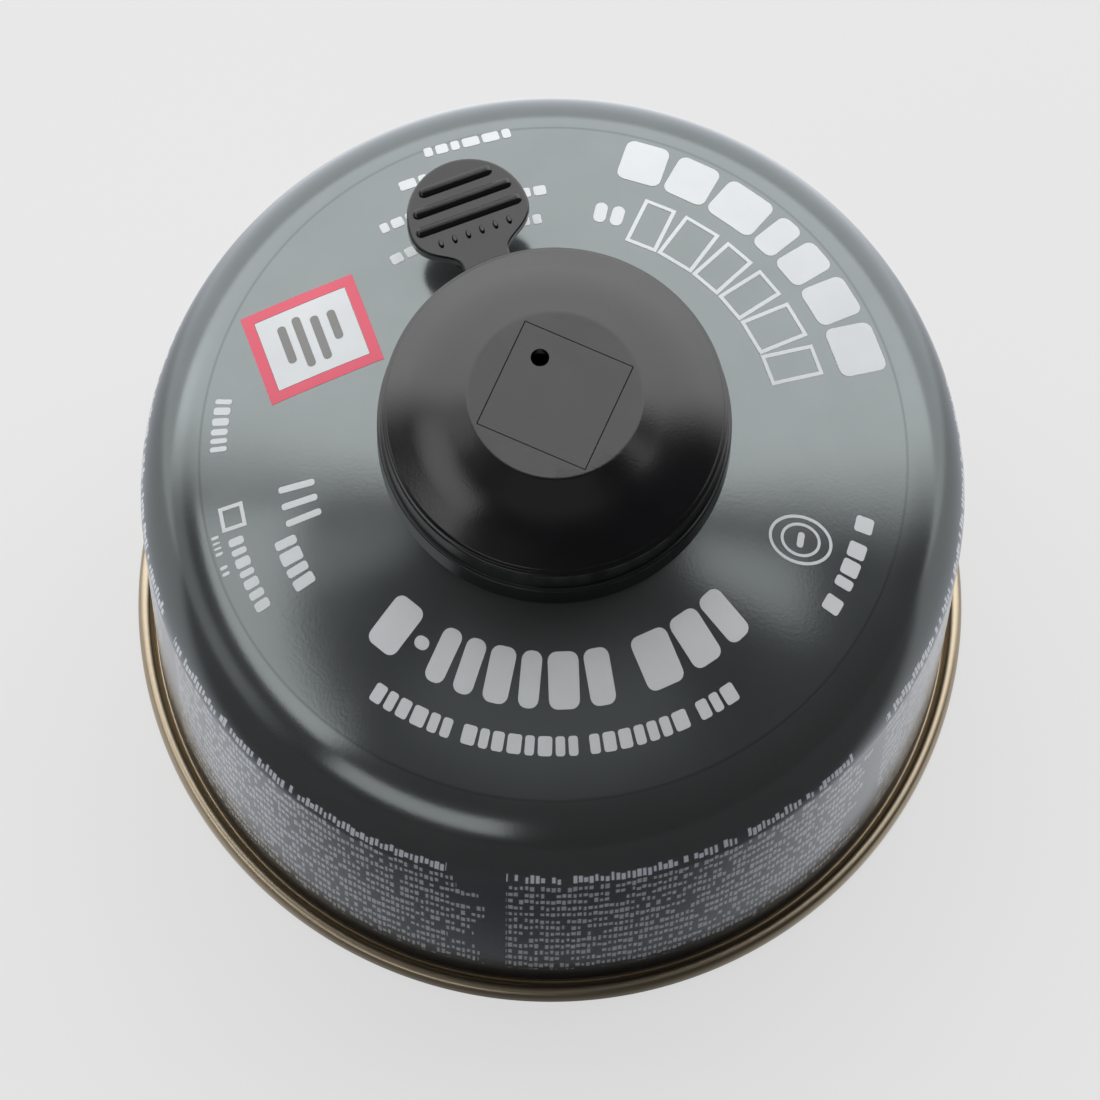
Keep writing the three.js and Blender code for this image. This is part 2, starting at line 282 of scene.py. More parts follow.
class Wiring:
    """Short ways to add nodes to a tree."""

    def __init__(self, tree: bpy.types.NodeTree) -> None:
        """Keeps the tree and empties it.

        Args:
            tree: A material's, a world's or a group's node tree.
        """
        self.tree = tree
        self.tree.nodes.clear()

    def node(self, kind: str, **settings: object) -> bpy.types.Node:
        """Adds a node.

        Args:
            kind: The node's Blender type.
            **settings: Properties of the node.

        Returns:
            The new node.
        """
        made = self.tree.nodes.new(kind)
        for key, value in settings.items():
            setattr(made, key, value)
        return made

    def feed(self, target: Socket, value: object) -> None:
        """Links a socket or sets it.

        Args:
            target: The input.
            value: Another node's output, or a plain value.
        """
        if isinstance(value, bpy.types.NodeSocket):
            self.tree.links.new(value, target)
        elif value is not None:
            target.default_value = value

    def math(self, operation: str, first: object, second: object = None, third: object = None) -> Socket:
        """Adds a Math node.

        Args:
            operation: Its operation.
            first: The first input.
            second: The second input, if any.
            third: The third input, if any.

        Returns:
            Its value.
        """
        made = self.node("ShaderNodeMath", operation=operation)
        for target, value in zip(made.inputs, (first, second, third)):
            self.feed(target, value)
        return made.outputs[0]

    def ramp(self, value: Socket, low: float, high: float, start: float = 0.0, end: float = 1.0) -> Socket:
        """Eases a value from one range to another, clamped.

        Args:
            value: The value.
            low: Where it starts.
            high: Where it ends.
            start: The result at the low end.
            end: The result at the high end.

        Returns:
            The eased value.
        """
        made = self.node("ShaderNodeMapRange", interpolation_type="SMOOTHSTEP", clamp=True)
        for target, number in zip(made.inputs, (value, low, high, start, end)):
            self.feed(target, number)
        return made.outputs[0]

    def mix(self, factor: object, first: object, second: object) -> Socket:
        """Mixes two colours.

        Args:
            factor: How much of the second.
            first: The first colour.
            second: The second colour.

        Returns:
            The mixed colour.
        """
        made = self.node("ShaderNodeMix", data_type="RGBA")
        for target, value in ((made.inputs[0], factor), (made.inputs[6], first), (made.inputs[7], second)):
            self.feed(target, (*value, 1.0) if isinstance(value, tuple) and len(value) == 3 else value)
        return made.outputs[2]

    def noise(self, vector: Socket, scale: Socket, detail: float, rough: float) -> Socket:
        """Adds a noise texture.

        Args:
            vector: Its coordinates.
            scale: Its scale.
            detail: Its detail.
            rough: Its roughness.

        Returns:
            Its value.
        """
        made = self.node("ShaderNodeTexNoise")
        for name, value in (("Vector", vector), ("Scale", scale), ("Detail", detail), ("Roughness", rough)):
            self.feed(made.inputs[name], value)
        return made.outputs[0]

    def group(self, tree: bpy.types.NodeTree, **values: object) -> bpy.types.Node:
        """Places a node group with its own values.

        Args:
            tree: The group.
            **values: Its inputs.

        Returns:
            The group's node.
        """
        made = self.node("ShaderNodeGroup")
        made.node_tree = tree
        for name, value in values.items():
            self.feed(made.inputs[name], value)
        return made


def new_group(
    name: str, inputs: dict[str, str], outputs: dict[str, str]
) -> tuple[Wiring, bpy.types.NodeOutputs, bpy.types.Node]:
    """Starts a shader node group with named sockets.

    Args:
        name: The group's name.
        inputs: The input names with their kinds, Float, Color or Vector.
        outputs: The output names with their kinds.

    Returns:
        The wiring, the group's inputs by name, and its output node.
    """
    tree = bpy.data.node_groups.new(name, "ShaderNodeTree")
    wiring = Wiring(tree)
    for way, sockets in (("INPUT", inputs), ("OUTPUT", outputs)):
        for label, kind in sockets.items():
            tree.interface.new_socket(label, in_out=way, socket_type=f"NodeSocket{kind}")
    return wiring, wiring.node("NodeGroupInput").outputs, wiring.node("NodeGroupOutput")


def grain_group() -> bpy.types.NodeTree:
    """A surface's fine grain: a mottled colour, an uneven roughness and a height for its bump.

    Returns:
        The node group.
    """
    wiring, given, out = new_group(
        "Surface grain",
        {"Vector": "Vector", "Color": "Color", "Roughness": "Float", "Scale": "Float", "Mottle": "Float"},
        {"Color": "Color", "Roughness": "Float", "Height": "Float"},
    )
    coarse = wiring.noise(given["Vector"], wiring.math("MULTIPLY", given["Scale"], 0.06), 4.0, 0.6)
    fine = wiring.noise(given["Vector"], given["Scale"], 2.0, 0.5)
    shade = wiring.math("MULTIPLY", wiring.math("SUBTRACT", coarse, 0.5), given["Mottle"])
    bright = wiring.node("ShaderNodeHueSaturation")
    wiring.feed(bright.inputs["Value"], wiring.math("ADD", shade, 1.0))
    wiring.feed(bright.inputs["Color"], given["Color"])
    wiring.feed(out.inputs["Color"], bright.outputs[0])
    wiring.feed(out.inputs["Roughness"], wiring.math("MULTIPLY_ADD", shade, 0.25, given["Roughness"]))
    wiring.feed(out.inputs["Height"], fine)
    return wiring.tree


def around_group() -> bpy.types.NodeTree:
    """Where a point lies on the canister: its turn in degrees, radius and height in millimetres.

    Returns:
        The node group.
    """
    wiring, given, out = new_group(
        "Around the axis", {"Vector": "Vector"}, {"Turn": "Float", "Radius": "Float", "Height": "Float"}
    )
    split = wiring.node("ShaderNodeSeparateXYZ")
    wiring.feed(split.inputs[0], given["Vector"])
    x, y, z = split.outputs
    turn = wiring.math("MULTIPLY", wiring.math("ARCTAN2", y, x), 180 / math.pi)
    square = wiring.math("ADD", wiring.math("MULTIPLY", x, x), wiring.math("MULTIPLY", y, y))
    wiring.feed(out.inputs["Turn"], turn)
    wiring.feed(out.inputs["Radius"], wiring.math("DIVIDE", wiring.math("SQRT", square), MM))
    wiring.feed(out.inputs["Height"], wiring.math("DIVIDE", z, MM))
    return wiring.tree


@dataclass(frozen=True)
class FinePrint:
    """The wall's columns of fine dashes, sizes in millimetres and degrees."""

    columns: int = 6
    turn_offset: float = 36.6
    margin: float = 0.025
    top: float = 44.9
    foot: float = 7.6
    pitch: float = 2.62
    stroke: float = 0.56
    wall_radius: float = 43.3
    space_share: float = 0.14
    heights: Point = (0.3, 0.38)
    slides: Point = (0.24, -0.62)
    widths: Point = (-0.22, 0.5)
    ends: Point = (-0.1, 0.98)
    body_fade: Point = (0.44, 0.6)
    side_fade: Point = (-0.14, 0.04)
    side_ink: float = 0.15
    ink_weight: float = 0.7
    first_weight: float = 0.3

    def group(self) -> bpy.types.NodeTree:
        """Builds the mask of the dashes.

        Returns:
            A node group from turn and height to a mask.
        """
        wiring, given, out = new_group("Fine print", {"Turn": "Float", "Height": "Float"}, {"Mask": "Float"})
        shifted = wiring.math("ADD", given["Turn"], 360 + self.turn_offset)
        share = wiring.math("DIVIDE", shifted, 360 / self.columns)
        across = wiring.math("FRACT", share)
        column = wiring.math("FLOOR", share)
        inside = wiring.math("COMPARE", across, 0.5, 0.5 - self.margin)
        down = wiring.math("DIVIDE", wiring.math("SUBTRACT", self.top, given["Height"]), self.pitch)
        row = wiring.math("FLOOR", down)
        along = wiring.math("MULTIPLY", given["Turn"], math.pi * self.wall_radius / 180 / self.stroke)
        cell = wiring.math("FLOOR", along)
        spaced = wiring.math("GREATER_THAN", self.scatter(wiring, row, cell, column), self.space_share)
        tall = wiring.math("MULTIPLY_ADD", self.scatter(wiring, cell, row, column), *self.heights)
        slide = wiring.math("MULTIPLY_ADD", self.scatter(wiring, column, cell, row), *self.slides)
        lift = wiring.math("ADD", wiring.math("FRACT", down), slide)
        reach = wiring.math("DIVIDE", wiring.math("ABSOLUTE", lift), tall)
        body = wiring.ramp(reach, *self.body_fade, 1.0, 0.0)
        stem = wiring.math("ABSOLUTE", wiring.math("SUBTRACT", wiring.math("FRACT", along), 0.5))
        broad = wiring.math("MULTIPLY_ADD", self.scatter(wiring, row, column, cell), *self.widths)
        thin = wiring.ramp(wiring.math("SUBTRACT", stem, broad), *self.side_fade, 1.0, self.side_ink)
        first = wiring.math("LESS_THAN", row, 0.5)
        weight = wiring.math("MULTIPLY_ADD", first, self.first_weight, self.ink_weight)
        held = wiring.math(
            "MULTIPLY",
            wiring.math("GREATER_THAN", given["Height"], self.foot),
            wiring.math("LESS_THAN", given["Height"], self.top),
        )
        end = wiring.math("MULTIPLY_ADD", self.scatter(wiring, row, column, row), *self.ends)
        mask = weight
        for part in (inside, spaced, body, thin, held, wiring.math("LESS_THAN", across, end)):
            mask = wiring.math("MULTIPLY", mask, part)
        wiring.feed(out.inputs["Mask"], mask)
        return wiring.tree

    def scatter(self, wiring: Wiring, first: Socket, second: Socket, third: Socket) -> Socket:
        """A value between 0 and 1 for each whole-numbered cell.

        Args:
            wiring: The group's wiring.
            first: The cell's first number.
            second: The cell's second number.
            third: The cell's third number.

        Returns:
            The cell's value.
        """
        join = wiring.node("ShaderNodeCombineXYZ")
        for target, value in zip(join.inputs, (first, second, third)):
            wiring.feed(target, value)
        grain = wiring.node("ShaderNodeTexWhiteNoise", noise_dimensions="3D")
        wiring.feed(grain.inputs["Vector"], join.outputs[0])
        return grain.outputs[0]


@dataclass(frozen=True)
class Finish:
    """A plain finish with its own grain; colours are linear."""

    name: str
    colour: Colour
    roughness: float
    metallic: float = 0.0
    coat: float = 0.0
    gloss: float = 0.5
    grain_scale: float = 3000.0
    grain_depth: float = 0.05
    mottle: float = 0.15

    def build(self, grain: bpy.types.NodeTree) -> bpy.types.Material:
        """Makes the material.

        Args:
            grain: The shared grain group.

        Returns:
            The material.
        """
        material = bpy.data.materials.new(self.name)
        material.use_nodes = True
        wiring = Wiring(material.node_tree)
        shader = wiring.node("ShaderNodeBsdfPrincipled")
        place = wiring.node("ShaderNodeTexCoord").outputs["Object"]
        look = wiring.group(
            grain,
            Vector=place,
            Color=(*self.colour, 1.0),
            Roughness=self.roughness,
            Scale=self.grain_scale,
            Mottle=self.mottle,
        ).outputs
        wiring.feed(shader.inputs["Roughness"], look["Roughness"])
        shader.inputs["Metallic"].default_value = self.metallic
        shader.inputs["Specular IOR Level"].default_value = self.gloss
        shader.inputs["Coat Weight"].default_value = self.coat
        self.paint(wiring, shader, place, look["Color"])
        bump = wiring.node("ShaderNodeBump")
        bump.inputs["Strength"].default_value = self.grain_depth
        bump.inputs["Distance"].default_value = 0.1 * MM
        wiring.feed(bump.inputs["Height"], look["Height"])
        wiring.feed(shader.inputs["Normal"], bump.outputs[0])
        wiring.feed(wiring.node("ShaderNodeOutputMaterial").inputs["Surface"], shader.outputs[0])
        return material

    def paint(self, wiring: Wiring, shader: bpy.types.Node, place: Socket, colour: Socket) -> None:
        """Feeds the grain's colour to the shader.

        Args:
            wiring: The material's wiring.
            shader: The Principled shader.
            place: The object coordinates; not used here.
            colour: The grain's colour.
        """
        wiring.feed(shader.inputs["Base Color"], colour)


@dataclass(frozen=True)
class CanPaint(Finish):
    """Satin metallic paint, with painted shade darkening the wall, a painted dark reflection line where the
    shoulder meets the dome, and the wall's fine print laid over it.
    """

    ink: Colour = (0.43, 0.46, 0.51)
    painted_wall_shade: Colour = (0.06, 0.066, 0.074)
    dark_reflection_radius: float = 36.8
    dark_reflection_core: float = 0.05
    dark_reflection_width: float = 0.22
    dark_reflection_strength: float = 0.3
    dark_reflection_colour: Colour = (0.03, 0.033, 0.035)
    wall_top: float = 43.5
    wall_blend: float = 3.0
    tint: Colour = (0.84, 0.87, 0.93)

    def paint(self, wiring: Wiring, shader: bpy.types.Node, place: Socket, colour: Socket) -> None:
        """Lays a painted shade on the wall, a painted dark reflection line where the shoulder meets the dome,
        and the fine print over the paint.

        Args:
            wiring: The material's wiring.
            shader: The Principled shader.
            place: The object coordinates.
            colour: The grain's colour.
        """
        spot = wiring.group(around_group(), Vector=place).outputs
        print_mask = wiring.group(FinePrint().group(), Turn=spot["Turn"], Height=spot["Height"]).outputs["Mask"]
        # Painted shade: below the shoulder the wall gets a darker, bluer paint colour that stands in for its
        # shaded look.
        wall = wiring.ramp(spot["Height"], self.wall_top - self.wall_blend, self.wall_top, 1.0, 0.0)
        paint = wiring.mix(wall, colour, self.painted_wall_shade)
        # Painted reflection: a thin dark line on the paint where the shoulder meets the dome, standing in for
        # the reflection of the dark surround there.
        off = wiring.math("ABSOLUTE", wiring.math("SUBTRACT", spot["Radius"], self.dark_reflection_radius))
        join = wiring.ramp(off, self.dark_reflection_core, self.dark_reflection_width, self.dark_reflection_strength, 0.0)
        paint = wiring.mix(join, paint, self.dark_reflection_colour)
        wiring.feed(shader.inputs["Base Color"], wiring.mix(print_mask, paint, self.ink))
        bare = wiring.math("SUBTRACT", 1.0, print_mask)
        wiring.feed(shader.inputs["Metallic"], wiring.math("MULTIPLY", bare, self.metallic))
        shader.inputs["Specular Tint"].default_value = (*self.tint, 1.0)


class Finishes:
    """Every material of the canister, built once."""

    def __init__(self) -> None:
        """Builds the shared grain and each finish."""
        grain = grain_group()
        self.paint = CanPaint("can paint", (0.122, 0.134, 0.134), 0.17, 0.8).build(grain)
        self.ink = Finish("pale ink", (0.45, 0.465, 0.475), 0.5, gloss=0.15).build(grain)
        self.red_ink = Finish("red ink", (0.48, 0.085, 0.12), 0.5, gloss=0.15).build(grain)
        self.grey_ink = Finish("grey ink", (0.16, 0.16, 0.155), 0.5, gloss=0.15).build(grain)
        self.lacquer = Finish(
            "gold lacquer", (0.38, 0.315, 0.225), 0.34, 1.0, 0.2, grain_scale=1500, mottle=0.2
        ).build(grain)
        self.tinplate = Finish(
            "tinplate", (0.62, 0.62, 0.6), 0.28, 1.0, grain_scale=1800, mottle=0.2
        ).build(grain)
        self.brass = Finish("brass", (0.6, 0.44, 0.2), 0.3, 1.0, mottle=0.2).build(grain)
        self.spring = Finish("spring steel", (0.5, 0.5, 0.5), 0.3, 1.0, mottle=0.2).build(grain)
        self.plastic = Finish(
            "black plastic", (0.003, 0.003, 0.0038), 0.22, grain_scale=3500, grain_depth=0.07, mottle=0.5
        ).build(grain)
        self.nylon = Finish("housing plastic", (0.6, 0.58, 0.52), 0.5, grain_scale=2000).build(grain)
        self.rubber = Finish("rubber", (0.015, 0.015, 0.015), 0.75, grain_depth=0.2, mottle=0.3).build(grain)


@dataclass
class Can:
    """The drawn can with its printed marks, in millimetres."""

    finishes: Finishes
    wall_radius: float = 43.3
    shoulder_height: float = 41.28
    shoulder_radius: float = 11.6
    sweep: float = 64.0
    top_slope: float = 0.258
    curl_radius: float = 16.2
    curl_width: float = 3.55
    neck_rise: float = 2.2
    trough: float = 6.1
    sheet: float = 0.5
    gap: float = 0.3
    foot: float = 3.3
    seam_inset: float = 0.65
    panel_depth: float = 4.3
    panel_rise: float = 5.2
    wall_step: float = 7.0

    @property
    def dome_start(self) -> Point:
        """Where the shoulder's arc ends and the dome begins."""
        angle = math.radians(self.sweep)
        centre = self.wall_radius - self.shoulder_radius
        return (
            centre + self.shoulder_radius * math.cos(angle),
            self.shoulder_height + self.shoulder_radius * math.sin(angle),
        )

    @property
    def dome_end(self) -> float:
        """The radius where the dome meets the neck."""
        return self.curl_radius + self.gap

    def height(self, radius: float) -> float:
        """The can's height at a radius on its dome or shoulder.

        Args:
            radius: The distance from the axis.

        Returns:
            The height there.
        """
        start_radius, start_height = self.dome_start
        run = start_radius - radius
        if run < 0:
            out = min(radius - (self.wall_radius - self.shoulder_radius), self.shoulder_radius)
            return self.shoulder_height + math.sqrt(self.shoulder_radius ** 2 - out ** 2)
        slope = 1 / math.tan(math.radians(self.sweep))
        ease = (slope - self.top_slope) / (start_radius - self.dome_end)
        return start_height + slope * run - ease * run * run / 2

    def build(self) -> None:
        """Builds the shell and its print."""
        dress(turned("can_shell", self.section(), 256), self.finishes.paint, Place.CAN, "can_body")
        Printing(self).build()

    def section(self) -> list[Point]:
        """The can's section, from the dish below to the neck's pocket.

        Returns:
            The outline from axis to axis.
        """
        edge = self.wall_radius - self.seam_inset - 2 * self.sheet
        lift = self.panel_depth + self.sheet + self.gap
        dish = [
            (edge * step / 16, lift + self.panel_rise * (1 - (step / 16) ** 2)) for step in range(16)
        ]
        foot = [
            (edge, lift),
            (self.wall_radius - self.seam_inset + self.gap / 2, self.panel_depth),
            (self.wall_radius - self.seam_inset + self.gap, self.foot),
            (self.wall_radius, self.foot),
            (self.wall_radius, self.wall_step),
        ]
        centre = (self.wall_radius - self.shoulder_radius, self.shoulder_height)
        shoulder = arc(centre, self.shoulder_radius, 0, self.sweep, 32)
        start = self.dome_start[0]
        dome = []
        for step in range(1, 41):
            radius = start + (self.dome_end - start) * step / 40
            dome.append((radius, self.height(radius)))
        return [*dish, *foot, *shoulder, *dome, *self.neck()]

    def neck(self) -> list[Point]:
        """The neck that the mounting cup is rolled over, and the pocket inside it.

        Returns:
            The outline from the dome's top to the axis.
        """
        top = self.height(self.dome_end)
        outer = self.curl_radius - self.sheet - self.gap
        inner = self.curl_radius - self.curl_width + self.sheet + self.gap
        seat = top + self.neck_rise + self.sheet / 5
        floor = top + self.neck_rise + self.curl_width / 2 - self.trough
        return eased([
            (outer, top + self.gap, 0.3), (outer, seat, 0.5), (inner, seat, 0.5), (inner, top + 0.35, 0.4),
            (inner + 0.35, floor + 1.5, 0.3), (inner + 0.35, floor + self.sheet, 0.3),
            (inner - 1, floor - self.sheet - self.gap, 0.3), (0, floor - self.sheet - self.gap, 0),
        ])


@dataclass
class Printing:
    """The generic printed marks on the dome: blocks, bands, a ring and a framed field."""

    can: Can
    proud: float = 0.035
    sunk: float = 0.03
    seed: int = 7
    corner: float = 0.9
    dash_corner: float = 0.3
    band_space: float = 0.8
    dash_space: float = 0.35
    group_space: float = 1.2
    frame_space: float = 0.6
    frame_line: float = 0.4

    def build(self) -> None:
        """Prints every group of marks."""
        ink = self.can.finishes.ink
        dice = random.Random(self.seed)
        groups = {
            "print_front_band": ([
                *self.band(22.5, 28.1, -132.5, -124.5, (1,)),
                *self.band(24.6, 25.9, -122.9, -119.3, (1,)),
                *self.band(22.5, 28.1, -117.6, -75.0, (4, 4, 5, 4, 6, 5)),
                *self.band(22.5, 28.1, -68.5, -42.0, (6, 5, 4)),
            ], ink),
            "print_front_line": (self.line(31.6, 1.9, -124.5, -52.5, (6, 8, 7, 3), dice), ink),
            "print_right_band": (self.band(31.0, 36.2, 17, 79, (6, 5, 4, 3, 6, 5, 5)), ink),
            "print_right_frames": ([
                *self.frames(23.4, 29.2, 17.5, 72.5, (5, 6, 5, 5, 6, 5)),
                *self.band(24.9, 27.4, 75.2, 82.0, (1, 1), 0.5),
            ], ink),
            "print_ring": (self.ring_mark(27.3, -20.0), ink),
            "print_right_line": (self.line(33.0, 1.9, -29.5, -10.5, (1, 3, 1), dice), ink),
            "print_left_lines": ([
                *self.line(34.8, 1.8, -189.0, -179.5, (6,), dice),
                *self.line(29.4, 2.3, -159.5, -148.5, (4,), dice),
                *self.line(34.1, 1.6, -163.5, -149.5, (7,), dice),
                *self.line(36.1, 0.8, -165.0, -158.0, (4, 2), dice),
                *self.frames(32.6, 35.2, -169.5, -165.0, (1,)),
                *(self.block(self.polar(26.9, turn), 3.8, 0.7, self.dash_corner, turn + Lie.RADIAL.value)
                  for turn in (-169.5, -165.8, -162.1)),
            ], ink),
            "print_tab_lines": (self.tab_lines(dice), ink),
            **self.framed_field(),
        }
        for name, (patches, material) in groups.items():
            dress(self.print_piece(name, patches), material, Place.CAN)

    def framed_field(self) -> dict[str, tuple[list[Patch], bpy.types.Material]]:
        """The framed pale field left of the cap, with plain grey bars in it.

        Returns:
            Each printed layer's patches and ink.
        """
        finishes = self.can.finishes
        centre, tilt = (-25.4, 11.4), 20.0
        red = self.hollow(centre, 12.3, 10.9, 1.15, tilt)
        white = [self.block(centre, 9.9, 8.5, 0.1, tilt)]
        bars = [
            self.block(self.shift(centre, across, along, tilt), length, 0.9, 0.4, tilt + Lie.ROUND.value, 0.03)
            for across, along, length in ((-2.6, 0.4, 4.6), (-0.9, 0.0, 6.2), (0.9, -0.3, 5.4), (2.7, 0.5, 3.6))
        ]
        return {
            "print_frame": ([red], finishes.red_ink),
            "print_field": (white, finishes.ink),
            "print_field_bars": (bars, finishes.grey_ink),
        }

    def shift(self, centre: Point, across: float, along: float, tilt: float) -> Point:
        """A point set off from a centre along turned axes.

        Args:
            centre: The centre.
            across: The distance along the turned X axis.
            along: The distance along the turned Y axis.
            tilt: The axes' turn in degrees.

        Returns:
            The point.
        """
        turn = math.radians(tilt)
        return (
            centre[0] + across * math.cos(turn) - along * math.sin(turn),
            centre[1] + across * math.sin(turn) + along * math.cos(turn),
        )

    def polar(self, radius: float, turn: float) -> Point:
        """A point at a radius and a turn in degrees."""
        return (radius * math.cos(math.radians(turn)), radius * math.sin(math.radians(turn)))

    def block(
        self, centre: Point, length: float, width: float, ease: float, tilt: float, lift: float = 0.0
    ) -> Patch:
        """A rounded block, as rows of points across it.

        Args:
            centre: Its centre in plan.
            length: Its length.
            width: Its width.
            ease: The rounding of its corners.
            tilt: The turn of its length in degrees.
            lift: How far it stands over other print.

        Returns:
            Rows of plan points, whether each row closes on itself, and the lift.
        """
        ease = min(ease, 0.49 * length, 0.49 * width)
        steps = max(6, int(length * 3))
        rows = []
        for place in self.spread(length, ease, steps):
            short = max(0.0, abs(place) - (length / 2 - ease))
            half = width / 2 - ease + math.sqrt(max(0.0, ease ** 2 - short ** 2))
            spans = max(2, int(width * 1.5))
            rows.append([
                self.shift(centre, place, -half + 2 * half * span / spans, tilt) for span in range(spans + 1)
            ])
        return rows, False, lift

    def spread(self, length: float, ease: float, steps: int) -> Iterator[float]:
        """Places along a block, closer together at its rounded ends.

        Args:
            length: The block's length.
            ease: The rounding of its corners.
            steps: How many spans its middle has.

        Yields:
            Each place, from one end to the other.
        """
        inner = length / 2 - ease
        for step in range(4):
            yield -inner - ease * math.cos(math.pi / 2 * step / 4)
        for step in range(steps + 1):
            yield -inner + 2 * inner * step / steps
        for step in range(3, -1, -1):
            yield inner + ease * math.cos(math.pi / 2 * step / 4)

    def hollow(self, centre: Point, length: float, width: float, line: float, tilt: float) -> Patch:
        """A rectangular frame, as rows of points from its inside to its outside.

        Args:
            centre: Its centre in plan.
            length: Its outer length.
            width: Its outer width.
            line: The frame's own width.
            tilt: The turn of its length in degrees.

        Returns:
            Rows of plan points, whether each row closes on itself, and the lift.
        """
        rows = []
        for inset in (line, line / 2, 0.0):
            x, y = length / 2 - inset, width / 2 - inset
            corners = [(-x, -y), (x, -y), (x, y), (-x, y)]
            row = []
            for (ax, ay), (bx, by) in zip(corners, corners[1:] + corners[:1]):
                for step in range(8):
                    t = step / 8
                    row.append(self.shift(centre, ax + (bx - ax) * t, ay + (by - ay) * t, tilt))
            rows.append(row)
        return rows, True, 0.0

    def ring(self, centre: Point, half_length: float, half_width: float, line: float, tilt: float) -> Patch:
        """An oval ring.

        Args:
            centre: Its centre in plan.
            half_length: Half its outer length.
            half_width: Half its outer width.
            line: The ring's own width.
            tilt: The turn of its length in degrees.

        Returns:
            Rows of plan points, whether each row closes on itself, and the lift.
        """
        rows = []
        for inset in (line, 0.0):
            row = []
            for step in range(48):
                turn = 2 * math.pi * step / 48
                row.append(self.shift(
                    centre, (half_length - inset) * math.cos(turn), (half_width - inset) * math.sin(turn), tilt
                ))
            rows.append(row)
        return rows, True, 0.0

    def sectors(
        self, start: float, end: float, shares: Sequence[int], space: float, radius: float
    ) -> Iterator[Point]:
        """Splits a stretch of turn into blocks.

        Args:
            start: The first turn in degrees.
            end: The last turn in degrees.
            shares: The blocks' relative lengths.
            space: The gap between blocks in millimetres.
            radius: The radius at which the gap is measured.

        Yields:
            Each block's first and last turn.
        """
        gap = math.degrees(space / radius)
        unit = (end - start - gap * (len(shares) - 1)) / sum(shares)
        turn = start
        for share in shares:
            yield turn, turn + unit * share
            turn += unit * share + gap

    def places(
        self, start: float, end: float, shares: Sequence[int], space: float, radius: float
    ) -> Iterator[tuple[Point, float, float]]:
        """Where each block of such a stretch lies.

        Args:
            start: The first turn in degrees.
            end: The last turn in degrees.
            shares: The blocks' relative lengths.
            space: The gap between blocks in millimetres.
            radius: The blocks' middle radius.

        Yields:
            Each block's centre, length and tilt.
        """
        for low, high in self.sectors(start, end, shares, space, radius):
            turn = (low + high) / 2
            yield self.polar(radius, turn), math.radians(high - low) * radius, turn + Lie.ROUND.value

    def band(
        self,
        inner: float,
        outer: float,
        start: float,
        end: float,
        shares: Sequence[int],
        space: float | None = None,
    ) -> list[Patch]:
        """A band of solid blocks round the dome.

        Args:
            inner: The band's inner radius.
            outer: Its outer radius.
            start: Its first turn in degrees.
            end: Its last turn in degrees.
            shares: The blocks' relative lengths.
            space: The gap between blocks, if it isn't the usual one.

        Returns:
            The band's patches.
        """
        places = self.places(start, end, shares, space or self.band_space, (inner + outer) / 2)
        width = outer - inner
        return [self.block(centre, length, width, self.corner, tilt) for centre, length, tilt in places]

    def frames(
        self, inner: float, outer: float, start: float, end: float, shares: Sequence[int]
    ) -> list[Patch]:
        """A band of hollow blocks round the dome.

        Args:
            inner: The band's inner radius.
            outer: Its outer radius.
            start: Its first turn in degrees.
            end: Its last turn in degrees.
            shares: The blocks' relative lengths.

        Returns:
            The band's patches.
        """
        places = self.places(start, end, shares, self.frame_space, (inner + outer) / 2)
        width = outer - inner
        return [self.hollow(centre, length, width, self.frame_line, tilt) for centre, length, tilt in places]

    def line(
        self, radius: float, width: float, start: float, end: float, groups: Sequence[int], dice: random.Random
    ) -> list[Patch]:
        """A line of small dashes round the dome, in groups.

        Args:
            radius: The line's radius.
            width: The dashes' width.
            start: The first turn in degrees.
            end: The last turn in degrees.
            groups: How many dashes each group has.
            dice: Where the dashes' lengths come from.

        Returns:
            The line's patches.
        """
        patches = []
        for count, (first, last) in zip(groups, self.sectors(start, end, groups, self.group_space, radius)):
            shares = [dice.choice((4, 5, 6)) for _ in range(count)]
            for centre, length, tilt in self.places(first, last, shares, self.dash_space, radius):
                patches.append(self.block(centre, length, width, self.dash_corner, tilt))
        return patches

    def ring_mark(self, radius: float, turn: float) -> list[Patch]:
        """Two rings, one in the other, with a small block inside.

        Args:
            radius: The mark's radius on the dome.
            turn: Its turn in degrees.

        Returns:
            The mark's patches.
        """
        centre = self.polar(radius, turn)
        tilt = turn + 12
        return [
            self.ring(centre, 3.35, 2.55, 0.32, tilt),
            self.ring(centre, 2.1, 1.75, 0.3, tilt),
            self.block(centre, 1.6, 0.7, 0.3, tilt + 90),
        ]

    def tab_lines(self, dice: random.Random) -> list[Patch]:
        """The short lines that show round the lift tab.

        Args:
            dice: Where the dashes' lengths come from.

        Returns:
            The patches.
        """
        rows = (
            ((-9.8, 34.8), 9.5, 16), ((-14.0, 30.2), 6.0, 20), ((-15.2, 25.4), 7.5, 24),
            ((-14.5, 21.4), 6.5, 28), ((-2.6, 28.3), 3.6, 12), ((-2.9, 24.6), 3.0, 12),
        )
        patches = []
        for centre, length, tilt in rows:
            place = -length / 2
            while place < length / 2 - 0.6:
                dash = dice.choice((0.9, 1.3, 1.8))
                spot = self.shift(centre, place + dash / 2, 0.0, tilt)
                patches.append(self.block(spot, dash, 1.2, 0.25, tilt))
                place += dash + self.dash_space
        return patches

